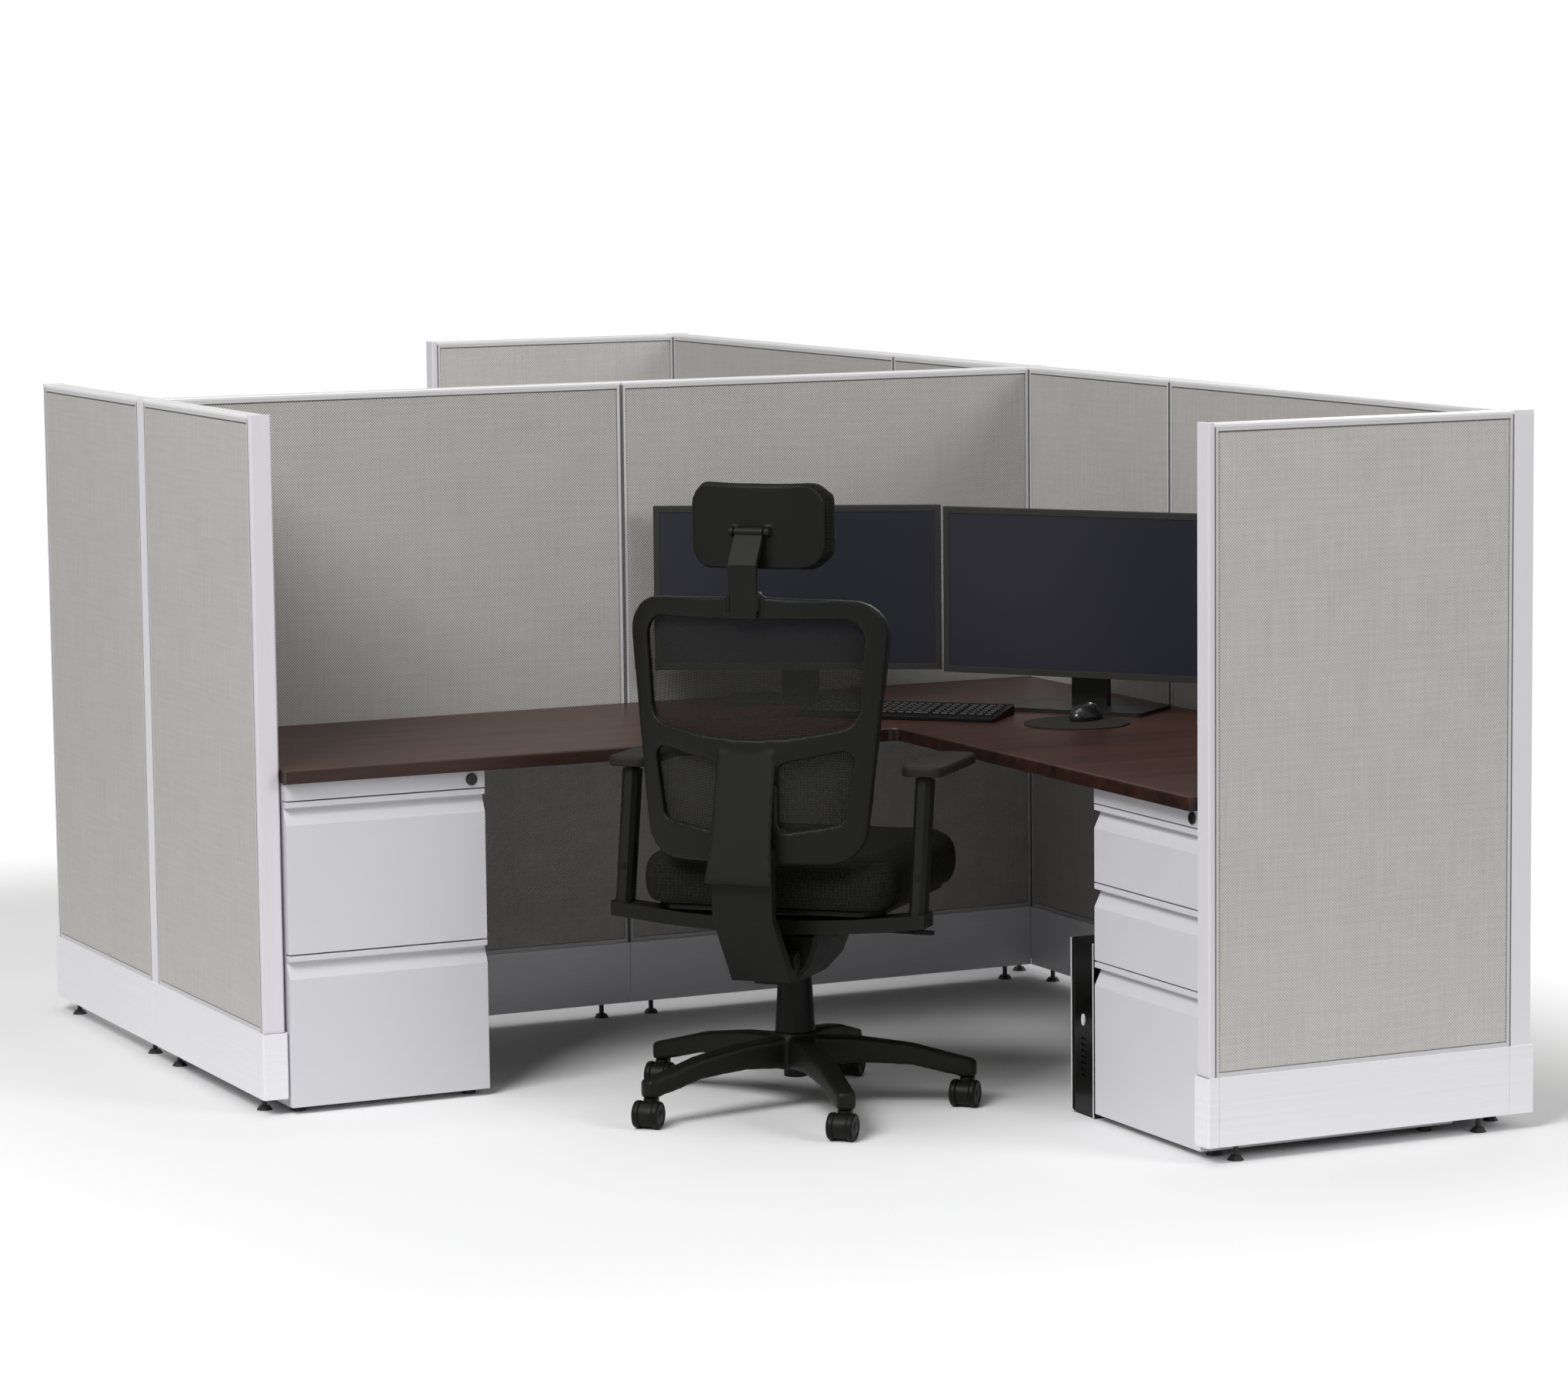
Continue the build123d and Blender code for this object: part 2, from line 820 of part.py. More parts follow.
def drawer(pedestal, bottom, height):
    """A drawer with a full-width integral pull, a folded tray and its moving slide rails."""
    base = pedestal["frame"]
    width = pedestal["width"]
    front_width = width - 2 * front_side_reveal
    slot = file_rail_width + slide_play + slide_width
    tray_half = width / 2 - pedestal_wall - slot
    tray_height = height * tray_top_share
    tray_length = pedestal_depth - case_front - pedestal_wall - slide_end_gap
    tray_base = bottom + tray_floor_gap
    with BuildPart() as box:
        with BuildSketch(sideways(base, 0, 0, bottom)):
            with BuildLine():
                Polyline(
                    (0, 0),
                    (front_thickness, 0),
                    (front_thickness, height),
                    (0, height),
                    (0, height - lip_height),
                    (pull_depth, height - lip_height - tray_wall),
                    (pull_depth, height - lip_height - pull_flat),
                    (0, height - lip_height - pull_flat - pull_slope),
                    close=True,
                )
            make_face()
        extrude(amount=front_width / 2, both=True)
        with BuildSketch(upright(base, 0, front_thickness, tray_base)):
            with Locations((0, tray_height / 2)):
                Rectangle(2 * tray_half, tray_height)
        extrude(amount=-tray_length)
        with BuildSketch(upright(base, 0, front_thickness, tray_base + tray_wall)):
            with Locations((0, tray_height / 2)):
                Rectangle(2 * tray_half - 2 * tray_wall, tray_height)
        extrude(amount=tray_wall - tray_length, mode=Mode.SUBTRACT)
        for side in (-1, 1):
            with BuildSketch(upright(base, 0, case_front, slide_centre(bottom, height))):
                with Locations((side * (tray_half + slide_width / 2), 0)):
                    Rectangle(slide_width, slide_height)
            extrude(amount=-rail_length)
    return box.part


def pedestal_lock(pedestal):
    """A cam lock: face disc with a keyway, barrel and cam."""
    base = pedestal["frame"]
    x = pedestal["width"] / 2 - lock_edge_distance
    with BuildPart() as lock:
        with BuildSketch(upright(base, x, -shaft_clearance, lock_height)):
            RegularPolygon(lock_radius, round_sides)
        extrude(amount=lock_face)
        front = faces().sort_by(Axis(base.origin, turned(base, (0, 1, 0))))[0]
        chamfer(front.edges(), lock_face / 3)
        with BuildSketch(upright(base, x, -shaft_clearance, lock_height)):
            RegularPolygon(lock_barrel_radius, barrel_sides)
        extrude(amount=-case_front - cam_thickness)
        with BuildSketch(upright(base, x, case_front + shaft_clearance, lock_height)):
            with Locations((-cam_length / 2, 0)):
                Rectangle(cam_length, cam_width)
        extrude(amount=-cam_thickness)
        with BuildSketch(upright(base, x, -lock_face - shaft_clearance, lock_height)):
            Rectangle(keyway_width, keyway_height)
        extrude(amount=-keyway_depth, mode=Mode.SUBTRACT)
    return lock.part


# Chair. In its frame +x is the sitter's right and +y is forward.
chair = standing(chair_x, chair_y, chair_turn)
leg_angles = [90 + 360 / leg_count * number for number in range(leg_count)]


def caster_point(angle):
    return caster_pitch_radius * cos(radians(angle)), caster_pitch_radius * sin(radians(angle))


def chair_leg():
    """The forward leg: its arched side profile, narrowed in plan, with softened top edges."""
    under = []
    over = []
    for reach, low, high in zip(leg_reaches_share, leg_bottoms_share, leg_tops_share):
        under.append((reach * caster_pitch_radius, low * hub_top))
        over.append((reach * caster_pitch_radius, high * hub_top))
    with BuildPart() as leg:
        with BuildSketch(sideways(chair, 0, 0, 0)):
            with BuildLine():
                Polyline(*under, *reversed(over), close=True)
            make_face()
        extrude(amount=leg_root_width / 2, both=True)
        with BuildSketch(level(chair, 0, 0, 0)):
            with BuildLine():
                root = leg_root_width / 2
                tip = leg_tip_width / 2
                reach = leg_reaches_share[-1] * caster_pitch_radius
                Polyline((-root, 0), (root, 0), (tip, reach), (-tip, reach), close=True)
            make_face()
        extrude(amount=hub_top, mode=Mode.INTERSECT)
        top = faces().filter_by(lambda face: face.normal_at().Z > 0.5)
        sides = faces().filter_by(lambda face: abs(face.normal_at().dot(turned(chair, (1, 0, 0)))) > 0.9)
        side_edges = [edge for face in sides for edge in face.edges()]
        chamfer([edge for edge in top.edges() if edge in side_edges], leg_rounding)
    return leg.part


def chair_base():
    """Five-leg arched nylon base with caster sockets."""
    leg = chair_leg()
    with BuildPart() as base:
        with BuildSketch(level(chair, 0, 0, hub_bottom)):
            RegularPolygon(hub_radius, wheel_sides)
        extrude(amount=hub_top - hub_bottom)
        for angle in leg_angles:
            add(leg.rotate(Axis(chair.origin, (0, 0, 1)), angle - leg_angles[0]))
            x, y = caster_point(angle)
            with BuildSketch(level(chair, x, y, caster_height)):
                RegularPolygon(socket_radius, barrel_sides)
            extrude(amount=leg_tops_share[-1] * hub_top - caster_height)
        with BuildSketch(level(chair, 0, 0, hub_bottom - hub_top)):
            Circle(spring_body_radius)
        extrude(amount=2 * hub_top, mode=Mode.SUBTRACT)
        for angle in leg_angles:
            x, y = caster_point(angle)
            with BuildSketch(level(chair, x, y, caster_height)):
                RegularPolygon(stem_radius + shaft_clearance, barrel_sides, major_radius=False)
            extrude(amount=socket_depth, mode=Mode.SUBTRACT)
    return base.part


def caster_yoke(angle):
    """The hooded centre body of a twin-wheel caster, with its swivel stem."""
    x, y = caster_point(angle)
    with BuildPart() as yoke:
        with BuildSketch(sideways(chair, x, y, wheel_radius)):
            with Locations((-caster_trail, 0)):
                RegularPolygon(hood_radius, wheel_sides)
        extrude(amount=hood_width / 2, both=True)
        with BuildSketch(level(chair, x, y, wheel_radius)):
            Rectangle(hood_width, 2 * boss_radius)
            chamfer(vertices(), hood_width / 4)
        extrude(amount=caster_height - wheel_radius - hood_gap)
        with BuildSketch(level(chair, x, y, wheel_radius)):
            RegularPolygon(stem_radius, barrel_sides)
        extrude(amount=caster_height + socket_depth - stem_end_gap - wheel_radius)
        with BuildSketch(sideways(chair, x - hood_width, y - caster_trail, wheel_radius)):
            RegularPolygon(axle_radius + shaft_clearance, barrel_sides, major_radius=False)
        extrude(amount=2 * hood_width, mode=Mode.SUBTRACT)
    return yoke.part


def caster_wheels(angle):
    """A pair of dished nylon wheels on their axle."""
    x, y = caster_point(angle)
    y -= caster_trail
    inner = hood_width / 2 + hood_gap
    with BuildPart() as wheels:
        for side in (-1, 1):
            with BuildSketch(sideways(chair, x + side * inner, y, wheel_radius)):
                RegularPolygon(wheel_radius, wheel_sides)
            extrude(amount=side * wheel_width)
        axle_line = Axis(chair.origin, turned(chair, (1, 0, 0)))
        outer_faces = faces().filter_by(axle_line).sort_by(axle_line)
        chamfer([outer_faces[0].edges(), outer_faces[-1].edges()], wheel_rounding)
        with BuildSketch(sideways(chair, x - inner - overrun, y, wheel_radius)):
            RegularPolygon(axle_radius, barrel_sides)
        extrude(amount=2 * (inner + overrun))
    return wheels.part


def gas_spring_tube():
    """The pressure tube in the hub with its tapered outer sleeve."""
    with BuildPart() as tube:
        with BuildSketch(level(chair, 0, 0, spring_bottom)):
            Circle(spring_body_radius)
        extrude(amount=hub_top - spring_bottom)
        with BuildSketch(level(chair, 0, 0, hub_top)):
            RegularPolygon(sleeve_radius, round_sides)
        extrude(amount=sleeve_top - hub_top, taper=sleeve_taper)
        with BuildSketch(level(chair, 0, 0, spring_bottom - overrun)):
            Circle(spring_bore + shaft_clearance)
        extrude(amount=sleeve_top - spring_bottom + 2 * overrun, mode=Mode.SUBTRACT)
    return tube.part


def gas_spring_piston():
    """The piston rod that carries the seat."""
    with BuildPart() as piston:
        with BuildSketch(level(chair, 0, 0, piston_bottom)):
            Circle(spring_bore)
        extrude(amount=mechanism_top - mechanism_edge - piston_bottom)
    return piston.part


lever_start = mechanism_half_width - lever_socket + pivot_gap
lever_pin_x = lever_start + lever_pin_inset


def tilt_mechanism():
    """The tilt box under the seat: a tapered housing with a rear pivot boss."""
    with BuildPart() as box:
        with BuildSketch(upright(chair, 0, mechanism_front, 0)):
            with BuildLine():
                half = mechanism_half_width
                Polyline(
                    (-half, mechanism_top),
                    (-half, mechanism_top - mechanism_rear / 5),
                    (-mechanism_waist, (mechanism_top + mechanism_bottom) / 2 - mechanism_edge * 2),
                    (-mechanism_foot, mechanism_bottom),
                    (mechanism_foot, mechanism_bottom),
                    (mechanism_waist, (mechanism_top + mechanism_bottom) / 2 - mechanism_edge * 2),
                    (half, mechanism_top - mechanism_rear / 5),
                    (half, mechanism_top),
                    close=True,
                )
            make_face()
        extrude(amount=mechanism_front + mechanism_rear)
        ends = faces().filter_by(Axis(chair.origin, turned(chair, (0, 1, 0))))
        chamfer(ends.edges(), mechanism_edge)
        with BuildSketch(sideways(chair, 0, 0, pivot_height)):
            with Locations((-pivot_back, 0)):
                RegularPolygon(pivot_boss_radius, round_sides)
            with Locations((-(pivot_back + mechanism_rear) / 2 + mechanism_edge, 0)):
                Rectangle(pivot_back - mechanism_rear + 2 * mechanism_edge, 2 * pivot_boss_radius)
        extrude(amount=pivot_boss_half, both=True)
        with BuildSketch(sideways(chair, -mechanism_half_width, -pivot_back, pivot_height)):
            RegularPolygon(pivot_pin_radius + shaft_clearance, barrel_sides, major_radius=False)
        extrude(amount=2 * mechanism_half_width, mode=Mode.SUBTRACT)
        with BuildSketch(level(chair, 0, 0, mechanism_bottom - overrun)):
            Circle(spring_bore + shaft_clearance)
        extrude(amount=mechanism_top - mechanism_edge - mechanism_bottom + 2 * overrun, mode=Mode.SUBTRACT)
        with BuildSketch(sideways(chair, mechanism_half_width - lever_socket, lever_forward, lever_height)):
            Rectangle(2 * (lever_radius + pivot_gap), 2 * (lever_radius + lever_swing))
        extrude(amount=2 * lever_socket, mode=Mode.SUBTRACT)
        with BuildSketch(upright(chair, lever_pin_x, lever_forward, lever_height)):
            RegularPolygon(lever_pin_radius + shaft_clearance, barrel_sides, major_radius=False)
        extrude(amount=lever_pin_half + pivot_gap, both=True, mode=Mode.SUBTRACT)
    return box.part


def height_lever():
    """The seat-height lever: a rod on a cross pin, with a flattened paddle."""
    rod = lever_length + lever_socket - paddle_length
    with BuildPart() as lever:
        with BuildSketch(sideways(chair, lever_start, lever_forward, lever_height)):
            RegularPolygon(lever_radius, barrel_sides)
        extrude(amount=rod)
        with BuildSketch(upright(chair, lever_pin_x, lever_forward, lever_height)):
            RegularPolygon(lever_pin_radius, barrel_sides)
        extrude(amount=lever_pin_half, both=True)
        paddle_bottom = lever_height - paddle_thickness / 2
        with BuildSketch(level(chair, lever_start + rod, lever_forward, paddle_bottom)):
            with Locations((paddle_length / 2 - lever_radius, 0)):
                Rectangle(paddle_length, paddle_width)
            chamfer(vertices(), paddle_width / 4)
        extrude(amount=paddle_thickness)
    return lever.part


def seat_pan():
    """The moulded pan under the cushion, seated on the tilt box."""
    with BuildPart() as pan:
        with BuildSketch(level(chair, 0, seat_forward, seat_bottom - mesh_gap)):
            Rectangle(seat_width - 2 * pan_inset, seat_depth - 2 * pan_inset)
            chamfer(vertices(), seat_corner / 2)
        extrude(amount=-pan_thickness)
        with BuildSketch(level(chair, 0, seat_forward, seat_bottom - mesh_gap - pan_thickness)):
            Rectangle(seat_width - 2 * pan_foot_inset, seat_depth - 2 * pan_foot_inset)
        extrude(amount=-pan_thickness)
        with BuildSketch(level(chair, 0, 0, mechanism_top)):
            for side in (-1, 1):
                with Locations((side * spacer_half_width, 0)):
                    Rectangle(mechanism_edge * 3, mechanism_front * 3 / 2)
        extrude(amount=seat_bottom - mesh_gap - pan_thickness - mechanism_top)
    return pan.part


def seat_cushion():
    """The moulded foam seat: drawn in at its base, full at the sides and crowned on top."""
    with BuildPart() as cushion:
        with BuildSketch(level(chair, 0, seat_forward, seat_bottom)):
            RectangleRounded(seat_width, seat_depth, seat_corner)
        extrude(amount=seat_top - seat_bottom)
        under = faces().sort_by(Axis.Z)[0]
        chamfer(under.edges(), seat_inset)
        for drop_share, inset_share in zip(seat_drops_share, seat_insets_share):
            top = faces().sort_by(Axis.Z)[-1]
            chamfer(top.edges(), drop_share * (seat_top - seat_bottom), inset_share * seat_inset)
    return cushion.part


def arm_axis_point(side, z):
    """A point on the leaning centreline of an arm post."""
    rise = z - arm_foot
    return side * arm_half_span, rise * sin(radians(arm_lean)) / cos(radians(arm_lean)) - arm_back, z


def arm_plane(side, z):
    lean = radians(arm_lean)
    return oriented(chair, arm_axis_point(side, z), (1, 0, 0), (0, sin(lean), cos(lean)))


arm_sleeve_top = arm_pad_top - arm_pad_thickness - arm_pad_lift
arm_sleeve_length = (arm_sleeve_top - arm_foot) / cos(radians(arm_lean))


def arm_bracket():
    """One swept bar under the seat that ends in a hollow leaning post on each side."""
    reach = arm_half_span + arm_bar_overhang
    low = arm_bar_low
    high = arm_bar_low + arm_bar_rise
    with BuildPart() as bracket:
        with BuildSketch(upright(chair, 0, -arm_back, 0)):
            with BuildLine():
                ThreePointArc((-reach, high), (0, low), (reach, high))
                Line((reach, high), (reach, high + arm_bar_thickness))
                ThreePointArc(
                    (reach, high + arm_bar_thickness),
                    (0, low + arm_bar_thickness),
                    (-reach, high + arm_bar_thickness),
                )
                Line((-reach, high + arm_bar_thickness), (-reach, high))
            make_face()
        extrude(amount=arm_bar_depth / 2, both=True)
        with BuildSketch(level(chair, 0, -arm_back, mechanism_top)):
            Rectangle(2 * arm_foot_half, arm_bar_depth)
        extrude(amount=arm_bar_thickness / 2)
        for side in (-1, 1):
            with BuildSketch(arm_plane(side, arm_foot)):
                Rectangle(arm_width, arm_depth)
                chamfer(vertices(), arm_corner)
            extrude(amount=arm_sleeve_length)
            with BuildSketch(arm_plane(side, arm_foot + arm_bar_thickness)):
                Rectangle(arm_width - 2 * arm_wall, arm_depth - 2 * arm_wall)
                chamfer(vertices(), arm_corner - arm_wall / 2)
            extrude(amount=arm_sleeve_length, mode=Mode.SUBTRACT)
            with BuildSketch(arm_button_plane(side)):
                add(oval(arm_button_width / 2 + arm_play, arm_button_length / 2 + arm_play))
            extrude(amount=-arm_wall - overrun, mode=Mode.SUBTRACT)
    return bracket.part


def arm_button_plane(side):
    """The rear face of an arm post, at its height button."""
    lean = radians(arm_lean)
    face = arm_plane(side, arm_foot + arm_button_height)
    return Plane(
        origin=face.from_local_coords(Vector(0, -arm_depth / 2, 0)),
        x_dir=turned(chair, (1, 0, 0)),
        z_dir=turned(chair, (0, -cos(lean), sin(lean))),
    )


def arm_button(side):
    """The oval height-release button of one arm."""
    with BuildPart() as button:
        with BuildSketch(arm_button_plane(side).offset(arm_button_proud)):
            add(oval(arm_button_width / 2, arm_button_length / 2))
        extrude(amount=-arm_button_depth)
    return button.part


def armrest(side):
    """A soft T pad on a stem that slides in the arm post."""
    x, y, z = arm_axis_point(side, arm_pad_top - arm_pad_thickness)
    play = arm_wall + arm_play
    with BuildPart() as rest:
        with BuildSketch(level(chair, x, y + arm_pad_forward, arm_pad_top - arm_pad_thickness)):
            with BuildLine():
                half = arm_pad_width / 2
                reach = arm_pad_length / 2
                waist = half - arm_pad_edge
                Polyline(
                    (-half, -reach),
                    (half, -reach),
                    (half, reach / 3),
                    (waist, reach),
                    (-waist, reach),
                    (-half, reach / 3),
                    close=True,
                )
            make_face()
            fillet(vertices(), arm_pad_corner)
        extrude(amount=arm_pad_thickness)
        chamfer(edges().group_by(Axis.Z)[-1], arm_pad_edge)
        with BuildSketch(arm_plane(side, arm_pad_top - arm_pad_thickness / 2)):
            Rectangle(arm_width - 2 * play, arm_depth - 2 * play)
            chamfer(vertices(), arm_corner - arm_wall / 2)
        extrude(amount=-arm_stem_depth)
    return rest.part


# The back is a shell bent about an upright axis: its arc passes through the side members
# and stands back_sagitta further back at the middle. In its frame +x is right, +y is up
# and +z is back.
back = oriented(chair, (0, -back_reach, back_bottom), (1, 0, 0), (0, -1, 0))
bend_radius = (back_top_half**2 + back_sagitta**2) / (2 * back_sagitta)


def bent_band(base, half, radius, sagitta, inner, outer):
    """A level band between two concentric arcs, a little wider and lower than its outline."""
    drop = radius - sagitta
    plane = oriented(base, (0, -overrun, 0), (1, 0, 0), (0, 1, 0))
    with BuildSketch(plane) as band:
        with BuildLine():
            points = []
            for offset in (inner, outer):
                r = radius + offset
                span = asin((half + overrun) / r)
                points.append((r * sin(span), drop - r * cos(span), -sagitta - offset))
            (x1, y1, m1), (x2, y2, m2) = points
            ThreePointArc((-x1, y1), (0, m1), (x1, y1))
            Line((x1, y1), (x2, y2))
            ThreePointArc((x2, y2), (0, m2), (-x2, y2))
            Line((-x2, y2), (-x1, y1))
        make_face()
    return band.sketch


def back_tongue():
    """The wide flared cover that runs down from the cross member over the spine."""
    side = oriented(back, (0, 0, 0), (0, 0, 1), (-1, 0, 0))
    with BuildPart() as tongue:
        with BuildSketch(side):
            with BuildLine():
                Polyline(
                    (tongue_top_back, tongue_top),
                    (tongue_top_back + tongue_thickness, tongue_top),
                    (tongue_low_back + tongue_thickness, tongue_bottom),
                    (tongue_low_back, tongue_bottom),
                    close=True,
                )
            make_face()
        extrude(amount=tongue_flare_half, both=True)
        with BuildSketch(back):
            with BuildLine():
                bend = -tongue_bottom
                Polyline(
                    (-tongue_flare_half, tongue_bottom),
                    (tongue_flare_half, tongue_bottom),
                    (tongue_half, bend),
                    (tongue_top_half, tongue_top),
                    (-tongue_top_half, tongue_top),
                    (-tongue_half, bend),
                    close=True,
                )
            make_face()
        extrude(amount=2 * tongue_low_back, mode=Mode.INTERSECT)
    return tongue.part


def back_frame():
    """The bent loop frame with its cross member, lower windows, spine cover and saddle."""
    cover = back_tongue()
    with BuildPart() as frame:
        outer = back_frame_thickness
        extrude(
            bent_band(back, back_top_half, bend_radius, back_sagitta, 0, outer),
            amount=back_height + 2 * overrun,
        )
        with BuildSketch(back):
            with BuildLine():
                Polyline(
                    (-back_bottom_half, 0),
                    (back_bottom_half, 0),
                    (back_top_half, back_height - window_corner / 4),
                    (0, back_height),
                    (-back_top_half, back_height - window_corner / 4),
                    close=True,
                )
            make_face()
            fillet([corner for corner in vertices() if abs(corner.X) > back_corner], back_corner)
        extrude(amount=2 * (back_sagitta + back_frame_thickness), mode=Mode.INTERSECT)
        with BuildSketch(back):
            with BuildLine():
                Polyline(
                    (-window_bottom_half, window_bottom),
                    (-window_top_half, window_top),
                    (window_top_half, window_top),
                    (window_bottom_half, window_bottom),
                )
                ThreePointArc(
                    (window_bottom_half, window_bottom),
                    (0, window_bottom - window_sag),
                    (-window_bottom_half, window_bottom),
                )
            make_face()
            fillet(vertices(), window_corner)
        extrude(amount=2 * (back_sagitta + back_frame_thickness), mode=Mode.SUBTRACT)
        for side in (-1, 1):
            with BuildSketch(back):
                with BuildLine():
                    Polyline(
                        (side * lower_window_inner, lower_window_top_in),
                        (side * lower_window_outer, lower_window_top_out),
                        (side * lower_window_outer_low, lower_window_bottom_out),
                        (side * lower_window_inner, lower_window_bottom_in),
                        close=True,
                    )
                make_face()
                fillet(vertices(), lower_window_corner)
            extrude(amount=2 * (back_sagitta + back_frame_thickness), mode=Mode.SUBTRACT)
        add(cover)
        lip = mesh_margin / 2
        saddle_depth = back_frame_thickness + saddle_thickness
        with BuildSketch(oriented(back, (0, back_height - lip, 0), (1, 0, 0), (0, 1, 0))):
            with Locations((0, saddle_thickness - back_sagitta - saddle_depth / 2)):
                Rectangle(stem_width, saddle_depth)
        extrude(amount=lip + saddle_thickness)
        guide_half = stem_width / 2 + stem_gap
        behind = back_sagitta + back_frame_thickness
        depth = stem_thickness + 2 * stem_gap + guide_lip_thickness
        start = oriented(back, (0, back_height - guide_height, 0), (1, 0, 0), (0, 1, 0))
        with BuildSketch(start):
            with Locations((0, back_frame_thickness / 4 - behind - depth / 2)):
                Rectangle(2 * (guide_half + guide_wall), depth + back_frame_thickness / 2)
            with Locations((0, -behind - depth / 2 + guide_lip_thickness / 2)):
                Rectangle(2 * guide_half, stem_thickness + 2 * stem_gap, mode=Mode.SUBTRACT)
            with Locations((0, -behind - depth / 2)):
                Rectangle(2 * (guide_half - guide_lip), depth, mode=Mode.SUBTRACT)
        extrude(amount=guide_height + saddle_thickness)
    return frame.part


def back_mesh():
    """The mesh cloth stretched over the front of the frame."""
    margin = mesh_margin
    with BuildPart() as mesh:
        low = oriented(back, (0, margin, 0), (1, 0, 0), (0, 0, 1))
        near = -mesh_gap - mesh_thickness
        extrude(
            bent_band(low, back_top_half - margin, bend_radius, back_sagitta, near, -mesh_gap),
            amount=back_height,
        )
        with BuildSketch(back):
            with BuildLine():
                Polyline(
                    (margin - back_bottom_half, margin),
                    (back_bottom_half - margin, margin),
                    (back_top_half - margin, back_height - 2 * margin),
                    (margin - back_top_half, back_height - 2 * margin),
                    close=True,
                )
            make_face()
            fillet(vertices(), back_corner / 2)
        extrude(amount=2 * back_sagitta, mode=Mode.INTERSECT)
    return mesh.part


def back_spine():
    """The J-shaped bar from the tilt pivot up into the spine cover, with its pivot pin."""
    outer = spine_knee_back + spine_thickness
    top = back_bottom - tongue_bottom
    lower = pivot_height - spine_bend_radius
    with BuildPart() as spine:
        with BuildSketch(sideways(chair, 0, 0, 0)):
            with BuildLine():
                Polyline(
                    (-spine_knee_back, top),
                    (-outer, top),
                    (-outer, spine_knee),
                    (-spine_heel_back, spine_heel - spine_thickness / 2),
                    (-pivot_back, spine_heel - spine_thickness / 2),
                    (-pivot_back, spine_heel + spine_thickness / 2),
                    (-spine_heel_back + spine_thickness / 2, spine_heel + spine_thickness / 2),
                    (-spine_knee_back, spine_knee),
                    close=True,
                )
            make_face()
            with Locations((-pivot_back, pivot_height)):
                RegularPolygon(pivot_ear, round_sides)
        extrude(amount=spine_half_width, both=True)
        with BuildSketch(sideways(chair, -pivot_boss_half - pivot_gap, 0, 0)):
            slot = pivot_boss_radius + fork_gap
            with Locations((pivot_ear - pivot_back, pivot_height + pivot_ear)):
                Rectangle(2 * (slot + pivot_ear), 2 * (slot + pivot_ear))
            with Locations((pivot_ear - pivot_back, pivot_height - pivot_ear)):
                Rectangle(2 * pivot_ear, 2 * pivot_ear)
        extrude(amount=2 * (pivot_boss_half + pivot_gap), mode=Mode.SUBTRACT)
        with BuildSketch(sideways(chair, -spine_half_width, 0, 0)):
            with Locations((-pivot_back, pivot_height)):
                RegularPolygon(pivot_pin_radius, barrel_sides)
        extrude(amount=2 * spine_half_width)
    return spine.part


def headrest_stem():
    """The bent strap that carries the headrest, with its pivot knuckle and pin."""
    bar_back = back_reach + back_sagitta + back_frame_thickness
    near = -(bar_back + stem_gap)
    far = near - stem_thickness
    pivot_near = stem_thickness / 2 - headrest_pivot_back
    pivot_far = -stem_thickness / 2 - headrest_pivot_back
    with BuildPart() as stem:
        with BuildSketch(sideways(chair, 0, 0, 0)):
            with BuildLine():
                Polyline(
                    (near, stem_bottom),
                    (near, stem_shoulder),
                    (pivot_near, headrest_pivot_height - stem_thickness),
                    (pivot_near, headrest_pivot_height),
                    (pivot_far, headrest_pivot_height),
                    (pivot_far, headrest_pivot_height - stem_thickness / 2),
                    (far, stem_shoulder + stem_thickness / 2),
                    (far, stem_bottom),
                    close=True,
                )
            make_face()
        extrude(amount=stem_width / 2, both=True)
        with BuildSketch(sideways(chair, 0, -headrest_pivot_back, headrest_pivot_height)):
            RegularPolygon(headrest_knuckle_radius, barrel_sides)
        extrude(amount=stem_width / 2, both=True)
        with BuildSketch(sideways(chair, 0, -headrest_pivot_back, headrest_pivot_height)):
            RegularPolygon(headrest_pin_radius, barrel_sides)
        extrude(amount=headrest_pin_half, both=True)
    return stem.part


headrest = oriented(chair, (0, headrest_sagitta - headrest_back, headrest_bottom), (1, 0, 0), (0, -1, 0))
headrest_radius = ((headrest_width / 2) ** 2 + headrest_sagitta**2) / (2 * headrest_sagitta)


def headrest_shell():
    """The curved back plate of the headrest with two ears that hold the pivot pin."""
    ear_centre = headrest_pin_half - (headrest_pin_half - stem_width / 2 - stem_gap) / 2
    ear_half = (headrest_pin_half - stem_width / 2 - stem_gap) / 2
    with BuildPart() as shell:
        half = headrest_width / 2
        outer = headrest_shell_thickness
        extrude(
            bent_band(headrest, half, headrest_radius, headrest_sagitta, 0, outer),
            amount=headrest_height + 2 * overrun,
        )
        with BuildSketch(headrest):
            with Locations((0, headrest_height / 2)):
                RectangleRounded(headrest_width, headrest_height, headrest_corner)
        extrude(amount=2 * headrest_sagitta, mode=Mode.INTERSECT)
        for side in (-1, 1):
            with BuildSketch(sideways(chair, side * ear_centre, -headrest_pivot_back, headrest_pivot_height)):
                RegularPolygon(headrest_knuckle_radius, barrel_sides)
                reach = headrest_pivot_back - headrest_back - headrest_shell_thickness / 4
                with Locations((reach / 2, 0)):
                    Rectangle(reach, 2 * headrest_knuckle_radius)
                bore = headrest_pin_radius + shaft_clearance
                RegularPolygon(bore, barrel_sides, major_radius=False, mode=Mode.SUBTRACT)
            extrude(amount=ear_half, both=True)
    return shell.part


